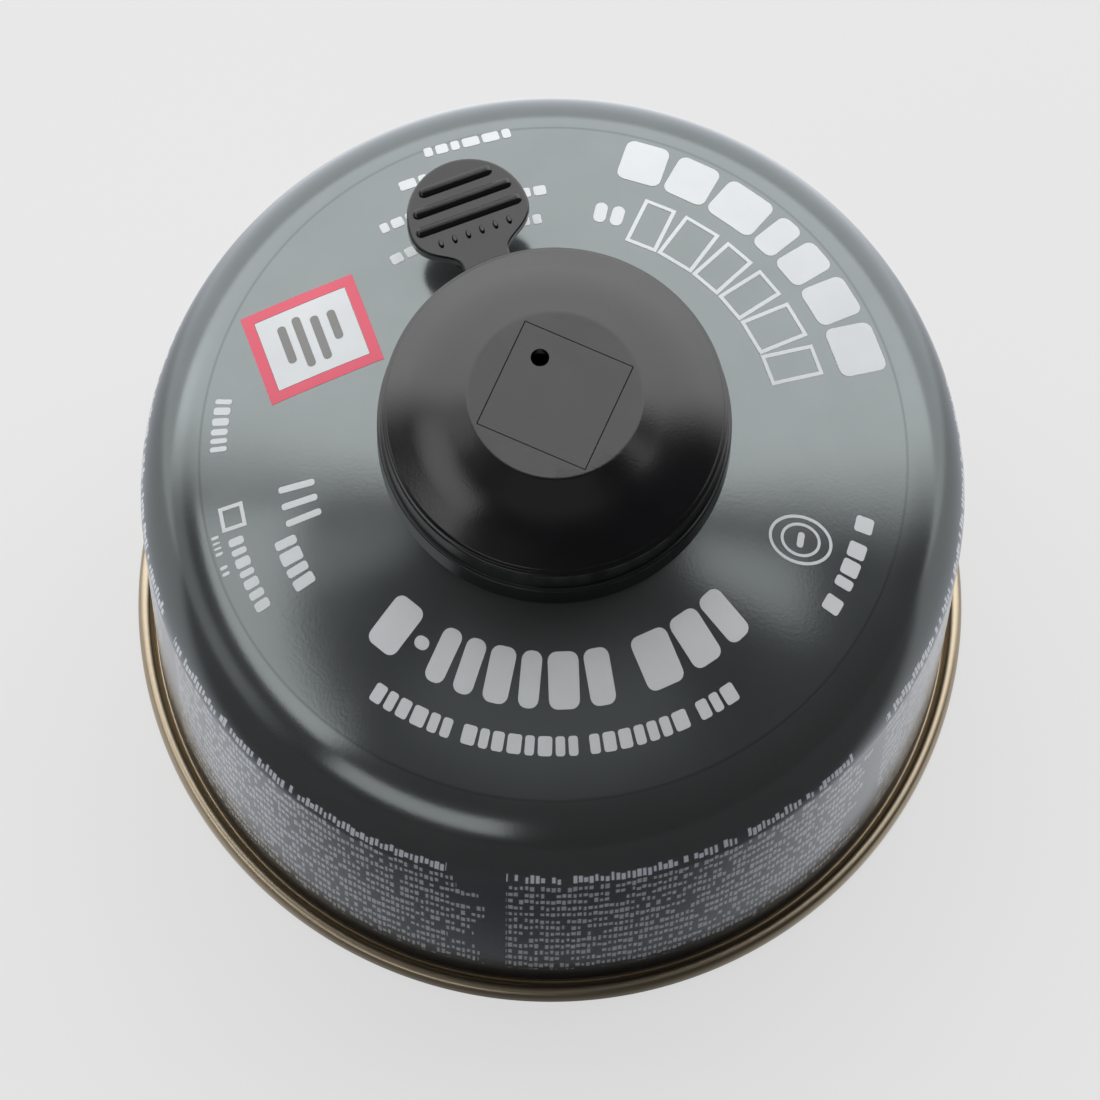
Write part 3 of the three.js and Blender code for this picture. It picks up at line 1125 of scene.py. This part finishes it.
    def print_piece(self, name: str, patches: Sequence[Patch]) -> bpy.types.Object:
        """Lays patches on the dome as one thin closed layer of ink.

        Args:
            name: The piece's name.
            patches: Rows of plan points, whether they close on themselves, and each patch's lift.

        Returns:
            The piece.
        """
        shape = bmesh.new()
        for rows, closed, lift in patches:
            tops = self.sheet(shape, rows, self.proud + lift)
            backs = self.sheet(shape, rows, -self.sunk)
            spans = len(rows[0]) if closed else len(rows[0]) - 1
            for low, high in zip(range(len(rows)), range(1, len(rows))):
                for span in range(spans):
                    after = (span + 1) % len(rows[0])
                    for layer in (tops, backs):
                        near, far = layer[low], layer[high]
                        shape.faces.new((near[span], near[after], far[after], far[span]))
            self.wall(shape, tops, backs, closed)
        return from_bmesh(name, shape)

    def sheet(self, shape: bmesh.types.BMesh, rows: list[list[Point]], offset: float) -> list[Verts]:
        """Puts plan points on the dome.

        Args:
            shape: The bmesh.
            rows: Rows of plan points.
            offset: Their height over the paint.

        Returns:
            The vertices, row by row.
        """
        return [
            [shape.verts.new((x, y, self.can.height(math.hypot(x, y)) + offset)) for x, y in row]
            for row in rows
        ]

    def wall(self, shape: bmesh.types.BMesh, tops: list[Verts], backs: list[Verts], closed: bool) -> None:
        """Closes a patch round its edge.

        Args:
            shape: The bmesh.
            tops: The upper vertices, row by row.
            backs: The lower vertices, row by row.
            closed: Whether each row closes on itself.
        """
        edges = []
        for index in (0, -1):
            top, back = tops[index], backs[index]
            count = len(top)
            edges += [(top[i], top[(i + 1) % count], back[(i + 1) % count], back[i])
                      for i in range(count if closed else count - 1)]
        if not closed:
            for side in (0, -1):
                edges += [(tops[i][side], tops[i + 1][side], backs[i + 1][side], backs[i][side])
                          for i in range(len(tops) - 1)]
        for corners in edges:
            shape.faces.new(corners)


@dataclass
class Base:
    """The lacquered base end with its rolled seam, in millimetres."""

    can: Can
    overhang: float = 1.95
    seam_height: float = 3.0

    def build(self) -> None:
        """Builds the base end in place of its CAD node."""
        piece = turned("base_end_seam", self.section(), 256)
        dress(piece, self.can.finishes.lacquer, Place.CAN, "base_end")

    def section(self) -> list[Point]:
        """The base end's section, from the panel's underside round the seam and back.

        Returns:
            The outline from axis to axis.
        """
        can, top, wall = self.can, self.seam_height, self.can.wall_radius
        roll = wall - can.seam_inset - can.sheet
        edge = roll - can.sheet
        rim = wall + self.overhang
        under = [(edge * s / 20, can.panel_depth + can.panel_rise * (1 - (s / 20) ** 2)) for s in range(20)]
        over = [(x, z + can.sheet) for x, z in reversed(under)]
        seam = eased([
            (edge, can.panel_depth, 0.4), (roll - 0.1, top - 0.1, 0.3), (roll + 0.5, 0.3, 0.4),
            (roll + 1.1, 0.0, 0.3), (rim - 0.6, 0.0, 0.5), (rim, 0.75, 0.6), (rim, top - 0.8, 0.9),
            (rim - 0.45, top - 0.05, 0.6), (wall + 0.6, top, 0.5), (wall + 0.25, top - 0.9, 0.2),
            (wall - 0.1, top - 0.9, 0.2), (wall - 0.3, top, 0.2), (wall - can.seam_inset, top, 0.2),
            (wall - can.seam_inset - 0.15, can.panel_depth - 0.25, 0.3),
            (edge, can.panel_depth + can.sheet, 0.3),
        ], 5)
        return [*under, *seam, *over]


@dataclass
class Valve:
    """The mounting cup with its threaded pedestal, and what it holds."""

    can: Can
    curl_skirt: float = 1.2
    pedestal: float = 5.55
    stand: float = 6.1
    thread_pitch: float = 0.907
    thread_depth: float = 0.5
    thread_clear: float = 0.9
    thread_foot: float = 1.6
    edge_ease: float = 0.55
    bore: float = 2.1
    roof: float = 0.75
    pedestal_wall: float = 0.9
    wire: float = 0.6
    wire_sides: int = 12
    spring_turns: int = 6
    spring_steps: int = 40
    press: float = 1.5

    @property
    def curl_base(self) -> float:
        """The height of the curl's centre."""
        return self.can.height(self.can.dome_end) + self.can.neck_rise

    @property
    def top(self) -> float:
        """The height of the pedestal's top."""
        return self.curl_base + self.can.curl_width / 2 + self.stand

    def build(self) -> None:
        """Builds the cup and dresses the pieces that it holds."""
        finishes = self.can.finishes
        cup = turned("mounting_cup", self.section(), 144, closed=True, crease=50, ripple=self.thread)
        dress(cup, finishes.tinplate, Place.CAN, "valve_cup")
        looks = {
            "cup_gasket": finishes.rubber,
            "stem_gasket": finishes.rubber,
            "valve_housing": finishes.nylon,
            "valve_stem": finishes.brass,
        }
        for node, material in looks.items():
            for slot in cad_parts[node].material_slots:
                slot.material = material
            LOG.info("%s: dressed", node)
        self.spring()

    def spring(self) -> None:
        """Winds the return spring as it stands at rest, to fill its CAD node's box."""
        low, high = (Vector(corner) * MM_PER_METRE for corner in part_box("valve_spring"))
        wire = self.wire / 2
        winding, climb = (high.x - low.x) / 2 - wire, high.z - low.z - 2 * wire
        shape = bmesh.new()
        rings = []
        steps = self.spring_turns * self.spring_steps
        for step in range(steps + 1):
            turn, rise = 2 * math.pi * step / self.spring_steps, low.z + wire + climb * step / steps
            ring = []
            for side in range(self.wire_sides):
                tip = 2 * math.pi * side / self.wire_sides
                reach = winding + wire * math.cos(tip)
                spot = (reach * math.cos(turn), reach * math.sin(turn), rise + wire * math.sin(tip))
                ring.append(shape.verts.new(spot))
            rings.append(ring)
        skin(shape, rings)
        piece = from_bmesh("return_spring", shape, 60)
        dress(piece, self.can.finishes.spring, Place.CAN, "valve_spring")
        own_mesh(piece)

    def thread(self, radius: float, height: float, turn: float) -> float:
        """Cuts the thread into the pedestal's outside.

        Args:
            radius: A point's radius.
            height: Its height.
            turn: Its turn in radians.

        Returns:
            Its radius with the thread cut.
        """
        foot = self.curl_base + self.can.curl_width / 2 - self.can.trough + self.thread_foot
        if abs(radius - self.pedestal) > 1e-6 or not foot < height < self.top - self.thread_clear:
            return radius
        phase = (height / self.thread_pitch - turn / (2 * math.pi)) % 1.0
        fade = min(1.0, (height - foot) / 0.9, (self.top - self.thread_clear - height) / 0.5)
        return radius - self.thread_depth * max(0.0, fade) * min(1.0, 1.15 * abs(2 * phase - 1))

    def section(self) -> list[Point]:
        """The cup's closed section: its exposed side, then its hidden side.

        Returns:
            The outline.
        """
        can, curl = self.can, self.can.curl_width / 2
        outer, sheet = can.curl_radius, can.sheet
        inner = outer - can.curl_width
        top = self.curl_base + curl
        floor = top - can.trough
        inside = self.pedestal - self.pedestal_wall
        ceiling = self.top - self.roof
        rows = 110
        foot = floor + 1.0
        exposed = [
            (outer, self.curl_base - self.curl_skirt),
            *arc((outer - curl, self.curl_base), curl, 0, 180, 20),
            *eased([(inner, floor + 2.0, 0), (inner + 0.35, floor + 1.5, 0.4), (inner + 0.1, floor + 0.5, 0.4),
                    (inner - 1, floor, 0.6), (self.pedestal + 1, floor, 0.6), (self.pedestal, foot, 0)]),
        ]
        edge = self.top - self.edge_ease
        threads = [(self.pedestal, foot + (edge - foot) * row / rows) for row in range(1, rows + 1)]
        crown = eased([(self.pedestal, edge, 0), (self.pedestal - self.edge_ease, self.top, 0.3),
                       (self.bore, self.top, 0.25), (self.bore, ceiling, 0)])
        hidden = [
            (inside, ceiling), (inside, floor + sheet), (inside + 1, floor - sheet),
            (inner - 1, floor - sheet), (inner + 0.6, floor + 0.25),
            (inner + 0.85, floor + 1.5), (inner + sheet, floor + 2.0),
            *arc((outer - curl, self.curl_base), curl - sheet, 180, 0, 16),
            (outer - sheet, self.curl_base - self.curl_skirt),
        ]
        return [*exposed, *threads, *crown[1:], *hidden]


@dataclass
class Cap:
    """The push-on cap, one moulding with its lift tab, in millimetres."""

    can: Can
    valve: Valve
    top_radius: float = 8.93
    skirt_wall: float = 0.45
    cone_drop: float = 4.45
    cone_bulge: float = 0.25
    step: float = 0.42
    band: float = 4.2
    wall: float = 1.45
    skirt_drop: float = 3.1
    hole_radius: float = 0.95
    hole_offset: float = 4.3
    scribe_width: float = 0.085
    bead: float = 0.35
    direction: float = 112.3
    reach: float = 31.1
    head_width: float = 12.9
    neck_width: float = 5.2
    fillet: float = 5.0
    thickness: float = 1.7
    lift: float = 0.5
    crease: float = 32.0
    edge_ease: float = 0.3
    rib_radius: float = 0.5
    rib_spacing: float = 2.0
    rib_lengths: tuple[float, ...] = (11.6, 10.8, 8.0)
    pips: int = 6
    pip_spacing: float = 1.5
    pip_radius: float = 0.6
    pip_depth: float = 0.6
    pip_squeeze: float = 0.55

    @property
    def curl_top(self) -> float:
        """The height of the curl's top, which the cap seats on."""
        return self.valve.curl_base + self.can.curl_width / 2

    @property
    def skirt_base(self) -> float:
        """The height of the skirt's lower edge."""
        return self.curl_top - self.skirt_drop

    @property
    def cone_edge(self) -> float:
        """The height where the cone meets the skirt."""
        return self.skirt_base + 2 * self.band

    @property
    def top(self) -> float:
        """The height of the flat top."""
        return self.cone_edge + self.cone_drop

    @property
    def bore(self) -> float:
        """The skirt's inside radius."""
        return self.can.curl_radius + self.bead + self.can.gap

    @property
    def tab_top(self) -> float:
        """The height of the tab's upper face."""
        return self.skirt_base + self.lift + self.thickness

    def build(self) -> None:
        """Builds the moulding in place of its CAD node."""
        cap = turned("cap_moulding", self.section(), 216)
        boolean(cap, self.tab(), "UNION")
        for place, length in enumerate(self.rib_lengths):
            boolean(cap, self.rib(self.reach - self.head_width / 2 + self.rib_spacing * place, length), "UNION")
        for place in range(self.pips):
            boolean(cap, self.pip(self.pip_spacing * (place - (self.pips - 1) / 2)), "UNION")
        boolean(cap, self.drill(), "DIFFERENCE")
        for quarter in range(4):
            boolean(cap, self.scribe(quarter), "DIFFERENCE")
        cap.data.transform(Matrix.Rotation(math.radians(self.direction), 4, "Z"))
        cap.data.shade_smooth()
        cap.data.set_sharp_from_angle(angle=math.radians(self.crease))
        modify(cap, "WEIGHTED_NORMAL", keep_sharp=True)
        dress(cap, self.can.finishes.plastic, Place.CAP, "cap")

    def section(self) -> list[Point]:
        """The cap's section: top, cone and stepped skirt, then its inside.

        Returns:
            The outline from axis to axis.
        """
        cone = self.bore + self.skirt_wall
        edge, base, step = self.cone_edge, self.skirt_base, self.step
        inner = self.bore - 2 * self.can.sheet - self.can.gap
        bead = self.bore - self.bead
        middle = ((self.top_radius + cone) / 2, (self.top + edge) / 2)
        lean = Vector((self.cone_drop, cone - self.top_radius)).normalized() * 2 * self.cone_bulge
        crown = eased([
            (self.top_radius, self.top, 0), (middle[0] + lean.x, middle[1] + lean.y, 100), (cone, edge, 0),
        ], 12)
        ease = len(crown) * [0.0]
        ease[0], ease[-1] = 0.18, 0.35
        return eased([
            (0, self.top, 0), *((*point, rounding) for point, rounding in zip(crown, ease)),
            (cone, edge - step, 0.12),
            (cone + step, edge - 1.5 * step, 0.25), (cone + 1.2 * step, edge - self.band, 0.1),
            (cone + 2.1 * step, edge - self.band - step / 4, 0.2), (cone + 2.2 * step, base, 0.35),
            (self.bore, base, 0.3), (self.bore, base + 0.4, 0.2), (bead, base + 0.75, 0.3),
            (self.bore, base + 1.2, 0.3), (self.bore, self.curl_top + self.can.gap, 0.1),
            (inner, self.curl_top + self.can.gap, 0.3), (inner, edge - self.wall, 0.4),
            (self.top_radius - self.wall / 4, self.top - self.wall, 0.4), (0, self.top - self.wall, 0),
        ])

    def outline(self, inset: float) -> list[Point]:
        """The tab's outline, pointing along X.

        Args:
            inset: How far in from the edge.

        Returns:
            The points, once round.
        """
        half, neck = self.head_width / 2 - inset, self.neck_width / 2 - inset
        root, shoulder, tip = self.bore + self.wall / 2, self.reach - self.head_width / 2, self.reach - inset
        fillet = min(self.fillet, (shoulder - root) / 1.2)
        pull = 0.56 * half
        curves = (
            ((shoulder - fillet, neck), (shoulder - 0.6 * fillet, neck), (shoulder - 0.64 * fillet, half),
             (shoulder, half)),
            ((shoulder, half), (shoulder + pull, half), (tip, pull), (tip, 0.0)),
        )
        side: list[Point] = [(root, neck)]
        for start, first, second, end in curves:
            for step in range(14):
                t = step / 14
                weights = ((1 - t) ** 3, 3 * t * (1 - t) ** 2, 3 * t * t * (1 - t), t ** 3)
                side.append(tuple(
                    sum(w * p[axis] for w, p in zip(weights, (start, first, second, end))) for axis in (0, 1)
                ))
        side.append((tip, 0.0))
        return side + [(x, -y) for x, y in reversed(side[:-1])]

    def tab(self) -> bpy.types.Object:
        """The tab's plate with rounded edges.

        Returns:
            The plate.
        """
        base, ease = self.skirt_base + self.lift, self.edge_ease
        angles = [math.pi / 2 * turn / 4 for turn in range(5)]
        levels = [(base + ease * (1 - math.cos(a)) * 0.5, ease * (1 - math.sin(a)) * 0.5) for a in angles]
        levels += [(self.tab_top - ease * (1 - math.sin(a)), ease * (1 - math.cos(a))) for a in angles]
        shape = bmesh.new()
        rings = [[shape.verts.new((x, y, height)) for x, y in self.outline(inset)] for height, inset in levels]
        skin(shape, rings)
        return from_bmesh("tab_tool", shape)

    def rib(self, place: float, length: float) -> bpy.types.Object:
        """One raised grip rib, steep behind and sloped towards the cap, with drawn-in ends.

        Args:
            place: Its distance from the axis.
            length: Its length.

        Returns:
            The rib.
        """
        high, half = self.rib_radius, length / 2
        profile = [(-1.3 * high, -0.2), (-0.4 * high, 0.85 * high), (-0.1 * high, high), (0.8 * high, high),
                   (1.0 * high, 0.85 * high), (1.1 * high, -0.2)]
        shape = bmesh.new()
        rings = []
        taper = ((half, 0.25), (half - 0.2, 0.75), (half - 0.5, 1))
        ends = [(-along, scale) for along, scale in taper] + list(reversed(taper))
        for along, scale in ends:
            spots = [(place + x * (0.4 + 0.6 * scale), z if z < 0 else z * scale) for x, z in profile]
            rings.append([shape.verts.new((x, along, self.tab_top + z)) for x, z in spots])
        skin(shape, rings)
        return from_bmesh("rib_tool", shape)

    def pip(self, across: float) -> bpy.types.Object:
        """One small oblong raised pip below the ribs.

        Args:
            across: Its distance from the tab's middle.

        Returns:
            The pip.
        """
        place = self.reach - self.head_width / 2 - 0.9 * self.rib_spacing
        shape = bmesh.new()
        bmesh.ops.create_cone(
            shape, cap_ends=True, segments=24, radius1=self.pip_radius, radius2=0.5 * self.pip_radius,
            depth=self.pip_depth,
        )
        bmesh.ops.scale(shape, vec=(1.0, self.pip_squeeze, 1.0), verts=shape.verts)
        bmesh.ops.translate(shape, verts=shape.verts, vec=(place, across, self.tab_top + 0.1))
        return from_bmesh("pip_tool", shape)

    def scribe(self, quarter: int) -> bpy.types.Object:
        """One side of the scribed square, as a slim bar that stands on its edge.

        Args:
            quarter: Which side, from 0 to 3.

        Returns:
            The cutter.
        """
        side = math.sqrt(2) * (self.top_radius - 0.44)
        turn = math.pi / 4 + quarter * math.pi / 2
        place = (-side / 2 * math.sin(turn), side / 2 * math.cos(turn), self.top)
        shape = bmesh.new()
        bmesh.ops.create_cube(shape, size=1.0)
        bmesh.ops.scale(shape, vec=(side, self.scribe_width, self.scribe_width), verts=shape.verts)
        for angle, axis in ((math.pi / 4, "X"), (turn, "Z")):
            bmesh.ops.rotate(shape, verts=shape.verts, matrix=Matrix.Rotation(angle, 3, axis))
        bmesh.ops.translate(shape, verts=shape.verts, vec=place)
        return from_bmesh("scribe_tool", shape)

    def drill(self) -> bpy.types.Object:
        """The round tool of the vent hole.

        Returns:
            The cutter.
        """
        shape = bmesh.new()
        bmesh.ops.create_cone(
            shape, cap_ends=True, segments=48, radius1=self.hole_radius, radius2=self.hole_radius,
            depth=4 * self.wall,
        )
        bmesh.ops.translate(shape, verts=shape.verts, vec=(self.hole_offset, 0, self.top))
        return from_bmesh("drill_tool", shape)


@dataclass(frozen=True)
class Panel:
    """A soft light panel of the studio, as a patch of the world in degrees."""

    turn: float
    half_turn: float
    rise: float
    half_rise: float
    soft_turn: float
    soft_rise: float
    strength: float


@dataclass
class Studio:
    """The floor, the light and the camera at the photograph's viewing angle."""

    elevation: float = 72.646
    distance: float = 845.0
    focal_pixels: float = 7846.4
    roll: float = 1.383
    target: tuple[float, float, float] = (-0.14, 0.0, 20.36)
    picture: int = 1100
    floor_radius: float = 9000.0
    floor_shade: float = 0.64
    floor_glow: float = 0.8
    backdrop: float = 0.79
    surround: float = 0.06
    card_start: float = -24.0
    card_blend: float = 30.0
    card_shade: float = 0.9
    card_black: float = 0.02
    paper_start: float = 45.0
    paper_glow: float = 1.2
    sensor: float = 36.0
    panel_inputs: tuple[str, ...] = ("Turn", "Half turn", "Rise", "Half rise", "Soft turn", "Soft rise")
    panels: tuple[Panel, ...] = (
        Panel(89, 73, 37, 40, 22, 9, 2.95),
        Panel(-165, 27, 39.5, 9.5, 3, 3, 2.2),
        Panel(-116, 18.5, 20, 8.5, 2.5, 2.5, 1.6),
        Panel(178, 32, 6, 9, 20, 8, 0.6),
        Panel(-5, 8, 57, 8, 4, 4, 1.6),
        Panel(181, 8, 57, 8, 6, 6, 0.7),
        Panel(-90, 45, 61, 6, 20, 8, 0.28),
    )

    def build(self) -> None:
        """Builds the floor, the world and the camera."""
        self.floor()
        self.world()
        self.camera()

    def floor(self) -> None:
        """Lays a wide pale floor, on which reflections alone show a dark card and a bright paper."""
        shape = bmesh.new()
        bmesh.ops.create_circle(shape, cap_ends=True, segments=64, radius=self.floor_radius)
        floor = from_bmesh("studio_floor", shape)
        material = bpy.data.materials.new("floor")
        material.use_nodes = True
        wiring = Wiring(material.node_tree)
        matte = wiring.node("ShaderNodeBsdfDiffuse")
        matte.inputs["Color"].default_value = (self.floor_shade,) * 3 + (1.0,)
        glow = wiring.node("ShaderNodeEmission")
        glow.inputs["Color"].default_value = (self.backdrop,) * 3 + (1.0,)
        path = wiring.node("ShaderNodeLightPath")
        seen = wiring.math("MAXIMUM", path.outputs["Is Camera Ray"], path.outputs["Is Transmission Ray"])
        seen = wiring.math("MAXIMUM", seen, path.outputs["Is Glossy Ray"])
        ahead = wiring.node("ShaderNodeSeparateXYZ")
        wiring.feed(ahead.inputs[0], wiring.node("ShaderNodeTexCoord").outputs["Object"])
        far = ahead.outputs[1]
        paper = wiring.ramp(
            far, self.paper_start * MM, (self.paper_start + self.card_blend) * MM, 0.0, self.paper_glow
        )
        lit = wiring.math("MULTIPLY_ADD", paper, path.outputs["Is Glossy Ray"], 1.0)
        wiring.feed(glow.inputs["Strength"], lit)
        mixed = wiring.node("ShaderNodeMixShader")
        wiring.feed(mixed.inputs[0], wiring.math("MULTIPLY", seen, self.floor_glow))
        wiring.feed(mixed.inputs[1], matte.outputs[0])
        wiring.feed(mixed.inputs[2], glow.outputs[0])
        card = wiring.node("ShaderNodeMixShader")
        shade = wiring.ramp(
            far, (self.card_start - self.card_blend) * MM, self.card_start * MM, self.card_shade, 0.0
        )
        wiring.feed(card.inputs[0], wiring.math("MULTIPLY", shade, path.outputs["Is Glossy Ray"]))
        wiring.feed(card.inputs[1], mixed.outputs[0])
        black = wiring.node("ShaderNodeBsdfDiffuse")
        black.inputs["Color"].default_value = (self.card_black,) * 3 + (1.0,)
        wiring.feed(card.inputs[2], black.outputs[0])
        wiring.feed(wiring.node("ShaderNodeOutputMaterial").inputs["Surface"], card.outputs[0])
        floor.data.materials.append(material)
        floor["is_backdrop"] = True

    def panel_group(self) -> bpy.types.NodeTree:
        """A soft-edged panel of light seen in a direction.

        Returns:
            The node group.
        """
        wiring, given, out = new_group(
            "Light panel",
            {"Vector": "Vector"} | {name: "Float" for name in self.panel_inputs},
            {"Mask": "Float"},
        )
        split = wiring.node("ShaderNodeSeparateXYZ")
        wiring.feed(split.inputs[0], given["Vector"])
        x, y, z = split.outputs
        to_radians = math.pi / 180
        turn = wiring.math("MULTIPLY", given["Turn"], to_radians)
        square = wiring.math("ADD", wiring.math("MULTIPLY", x, x), wiring.math("MULTIPLY", y, y))
        flat = wiring.math("SQRT", square)
        dot = wiring.math(
            "ADD",
            wiring.math("MULTIPLY", x, wiring.math("COSINE", turn)),
            wiring.math("MULTIPLY", y, wiring.math("SINE", turn)),
        )
        aside = wiring.math("DIVIDE", wiring.math("ARCCOSINE", wiring.math("DIVIDE", dot, flat)), to_radians)
        rise = wiring.math("DIVIDE", wiring.math("ARCTAN2", z, flat), to_radians)
        above = wiring.math("ABSOLUTE", wiring.math("SUBTRACT", rise, given["Rise"]))
        mask = None
        sides = ((aside, "Half turn", "Soft turn"), (above, "Half rise", "Soft rise"))
        for value, half, soft in sides:
            edge = wiring.math("DIVIDE", wiring.math("SUBTRACT", value, given[half]), given[soft])
            part = wiring.ramp(edge, -0.5, 0.5, 1.0, 0.0)
            mask = part if mask is None else wiring.math("MULTIPLY", mask, part)
        wiring.feed(out.inputs["Mask"], mask)
        return wiring.tree

    def world(self) -> None:
        """Lights the scene by soft panels in a plain surround, pale where the camera sees it."""
        world = bpy.data.worlds.new("studio")
        bpy.context.scene.world = world
        world.use_nodes = True
        wiring = Wiring(world.node_tree)
        way = wiring.node("ShaderNodeTexCoord").outputs["Generated"]
        tree = self.panel_group()
        total = None
        for panel in self.panels:
            values = {name: getattr(panel, name.lower().replace(" ", "_")) for name in self.panel_inputs}
            mask = wiring.group(tree, Vector=way, **values).outputs["Mask"]
            part = wiring.math("MULTIPLY", mask, panel.strength)
            total = part if total is None else wiring.math("ADD", total, part)
        surround = wiring.math("ADD", total, self.surround)
        path = wiring.node("ShaderNodeLightPath")
        seen = wiring.math("MAXIMUM", path.outputs["Is Camera Ray"], path.outputs["Is Transmission Ray"])
        lit = wiring.math("MULTIPLY", surround, wiring.math("SUBTRACT", 1.0, seen))
        strength = wiring.math("MULTIPLY_ADD", seen, self.backdrop, lit)
        light = wiring.node("ShaderNodeBackground")
        light.inputs["Color"].default_value = (1.0, 1.0, 1.0, 1.0)
        wiring.feed(light.inputs["Strength"], strength)
        wiring.feed(wiring.node("ShaderNodeOutputWorld").inputs["Surface"], light.outputs[0])

    def camera(self) -> None:
        """Sets the camera at the photograph's viewing angle."""
        rise, spin = math.radians(self.elevation), math.radians(self.roll)
        target = Vector(self.target)
        back = Vector((0, -math.cos(rise), math.sin(rise)))
        right = Vector((1, 0, 0))
        upward = back.cross(right)
        x = right * math.cos(spin) + upward * math.sin(spin)
        y = upward * math.cos(spin) - right * math.sin(spin)
        lens = bpy.data.cameras.new("camera")
        lens.sensor_width = self.sensor
        lens.lens = self.focal_pixels / self.picture * self.sensor
        lens.clip_start = 0.01
        eye = bpy.data.objects.new("camera", lens)
        bpy.context.scene.collection.objects.link(eye)
        turn = Matrix((x, y, back)).transposed().to_4x4()
        eye.matrix_world = Matrix.Translation((target + back * self.distance) * MM) @ turn
        bpy.context.scene.camera = eye
        bpy.context.scene.view_settings.view_transform = "Standard"


def write_sizes() -> None:
    boxes = [[list(map(float, corner)) for corner in box] for box in (CAD_BOX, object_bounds())]


def main() -> None:
    """Builds the studio and every piece in order."""
    logging.basicConfig(level=logging.INFO, format="%(name)s %(message)s")
    Studio().build()
    can = Can(Finishes())
    can.build()
    Base(can).build()
    valve = Valve(can)
    valve.build()
    Cap(can, valve).build()
    write_sizes()


if __name__ == "__main__":
    main()
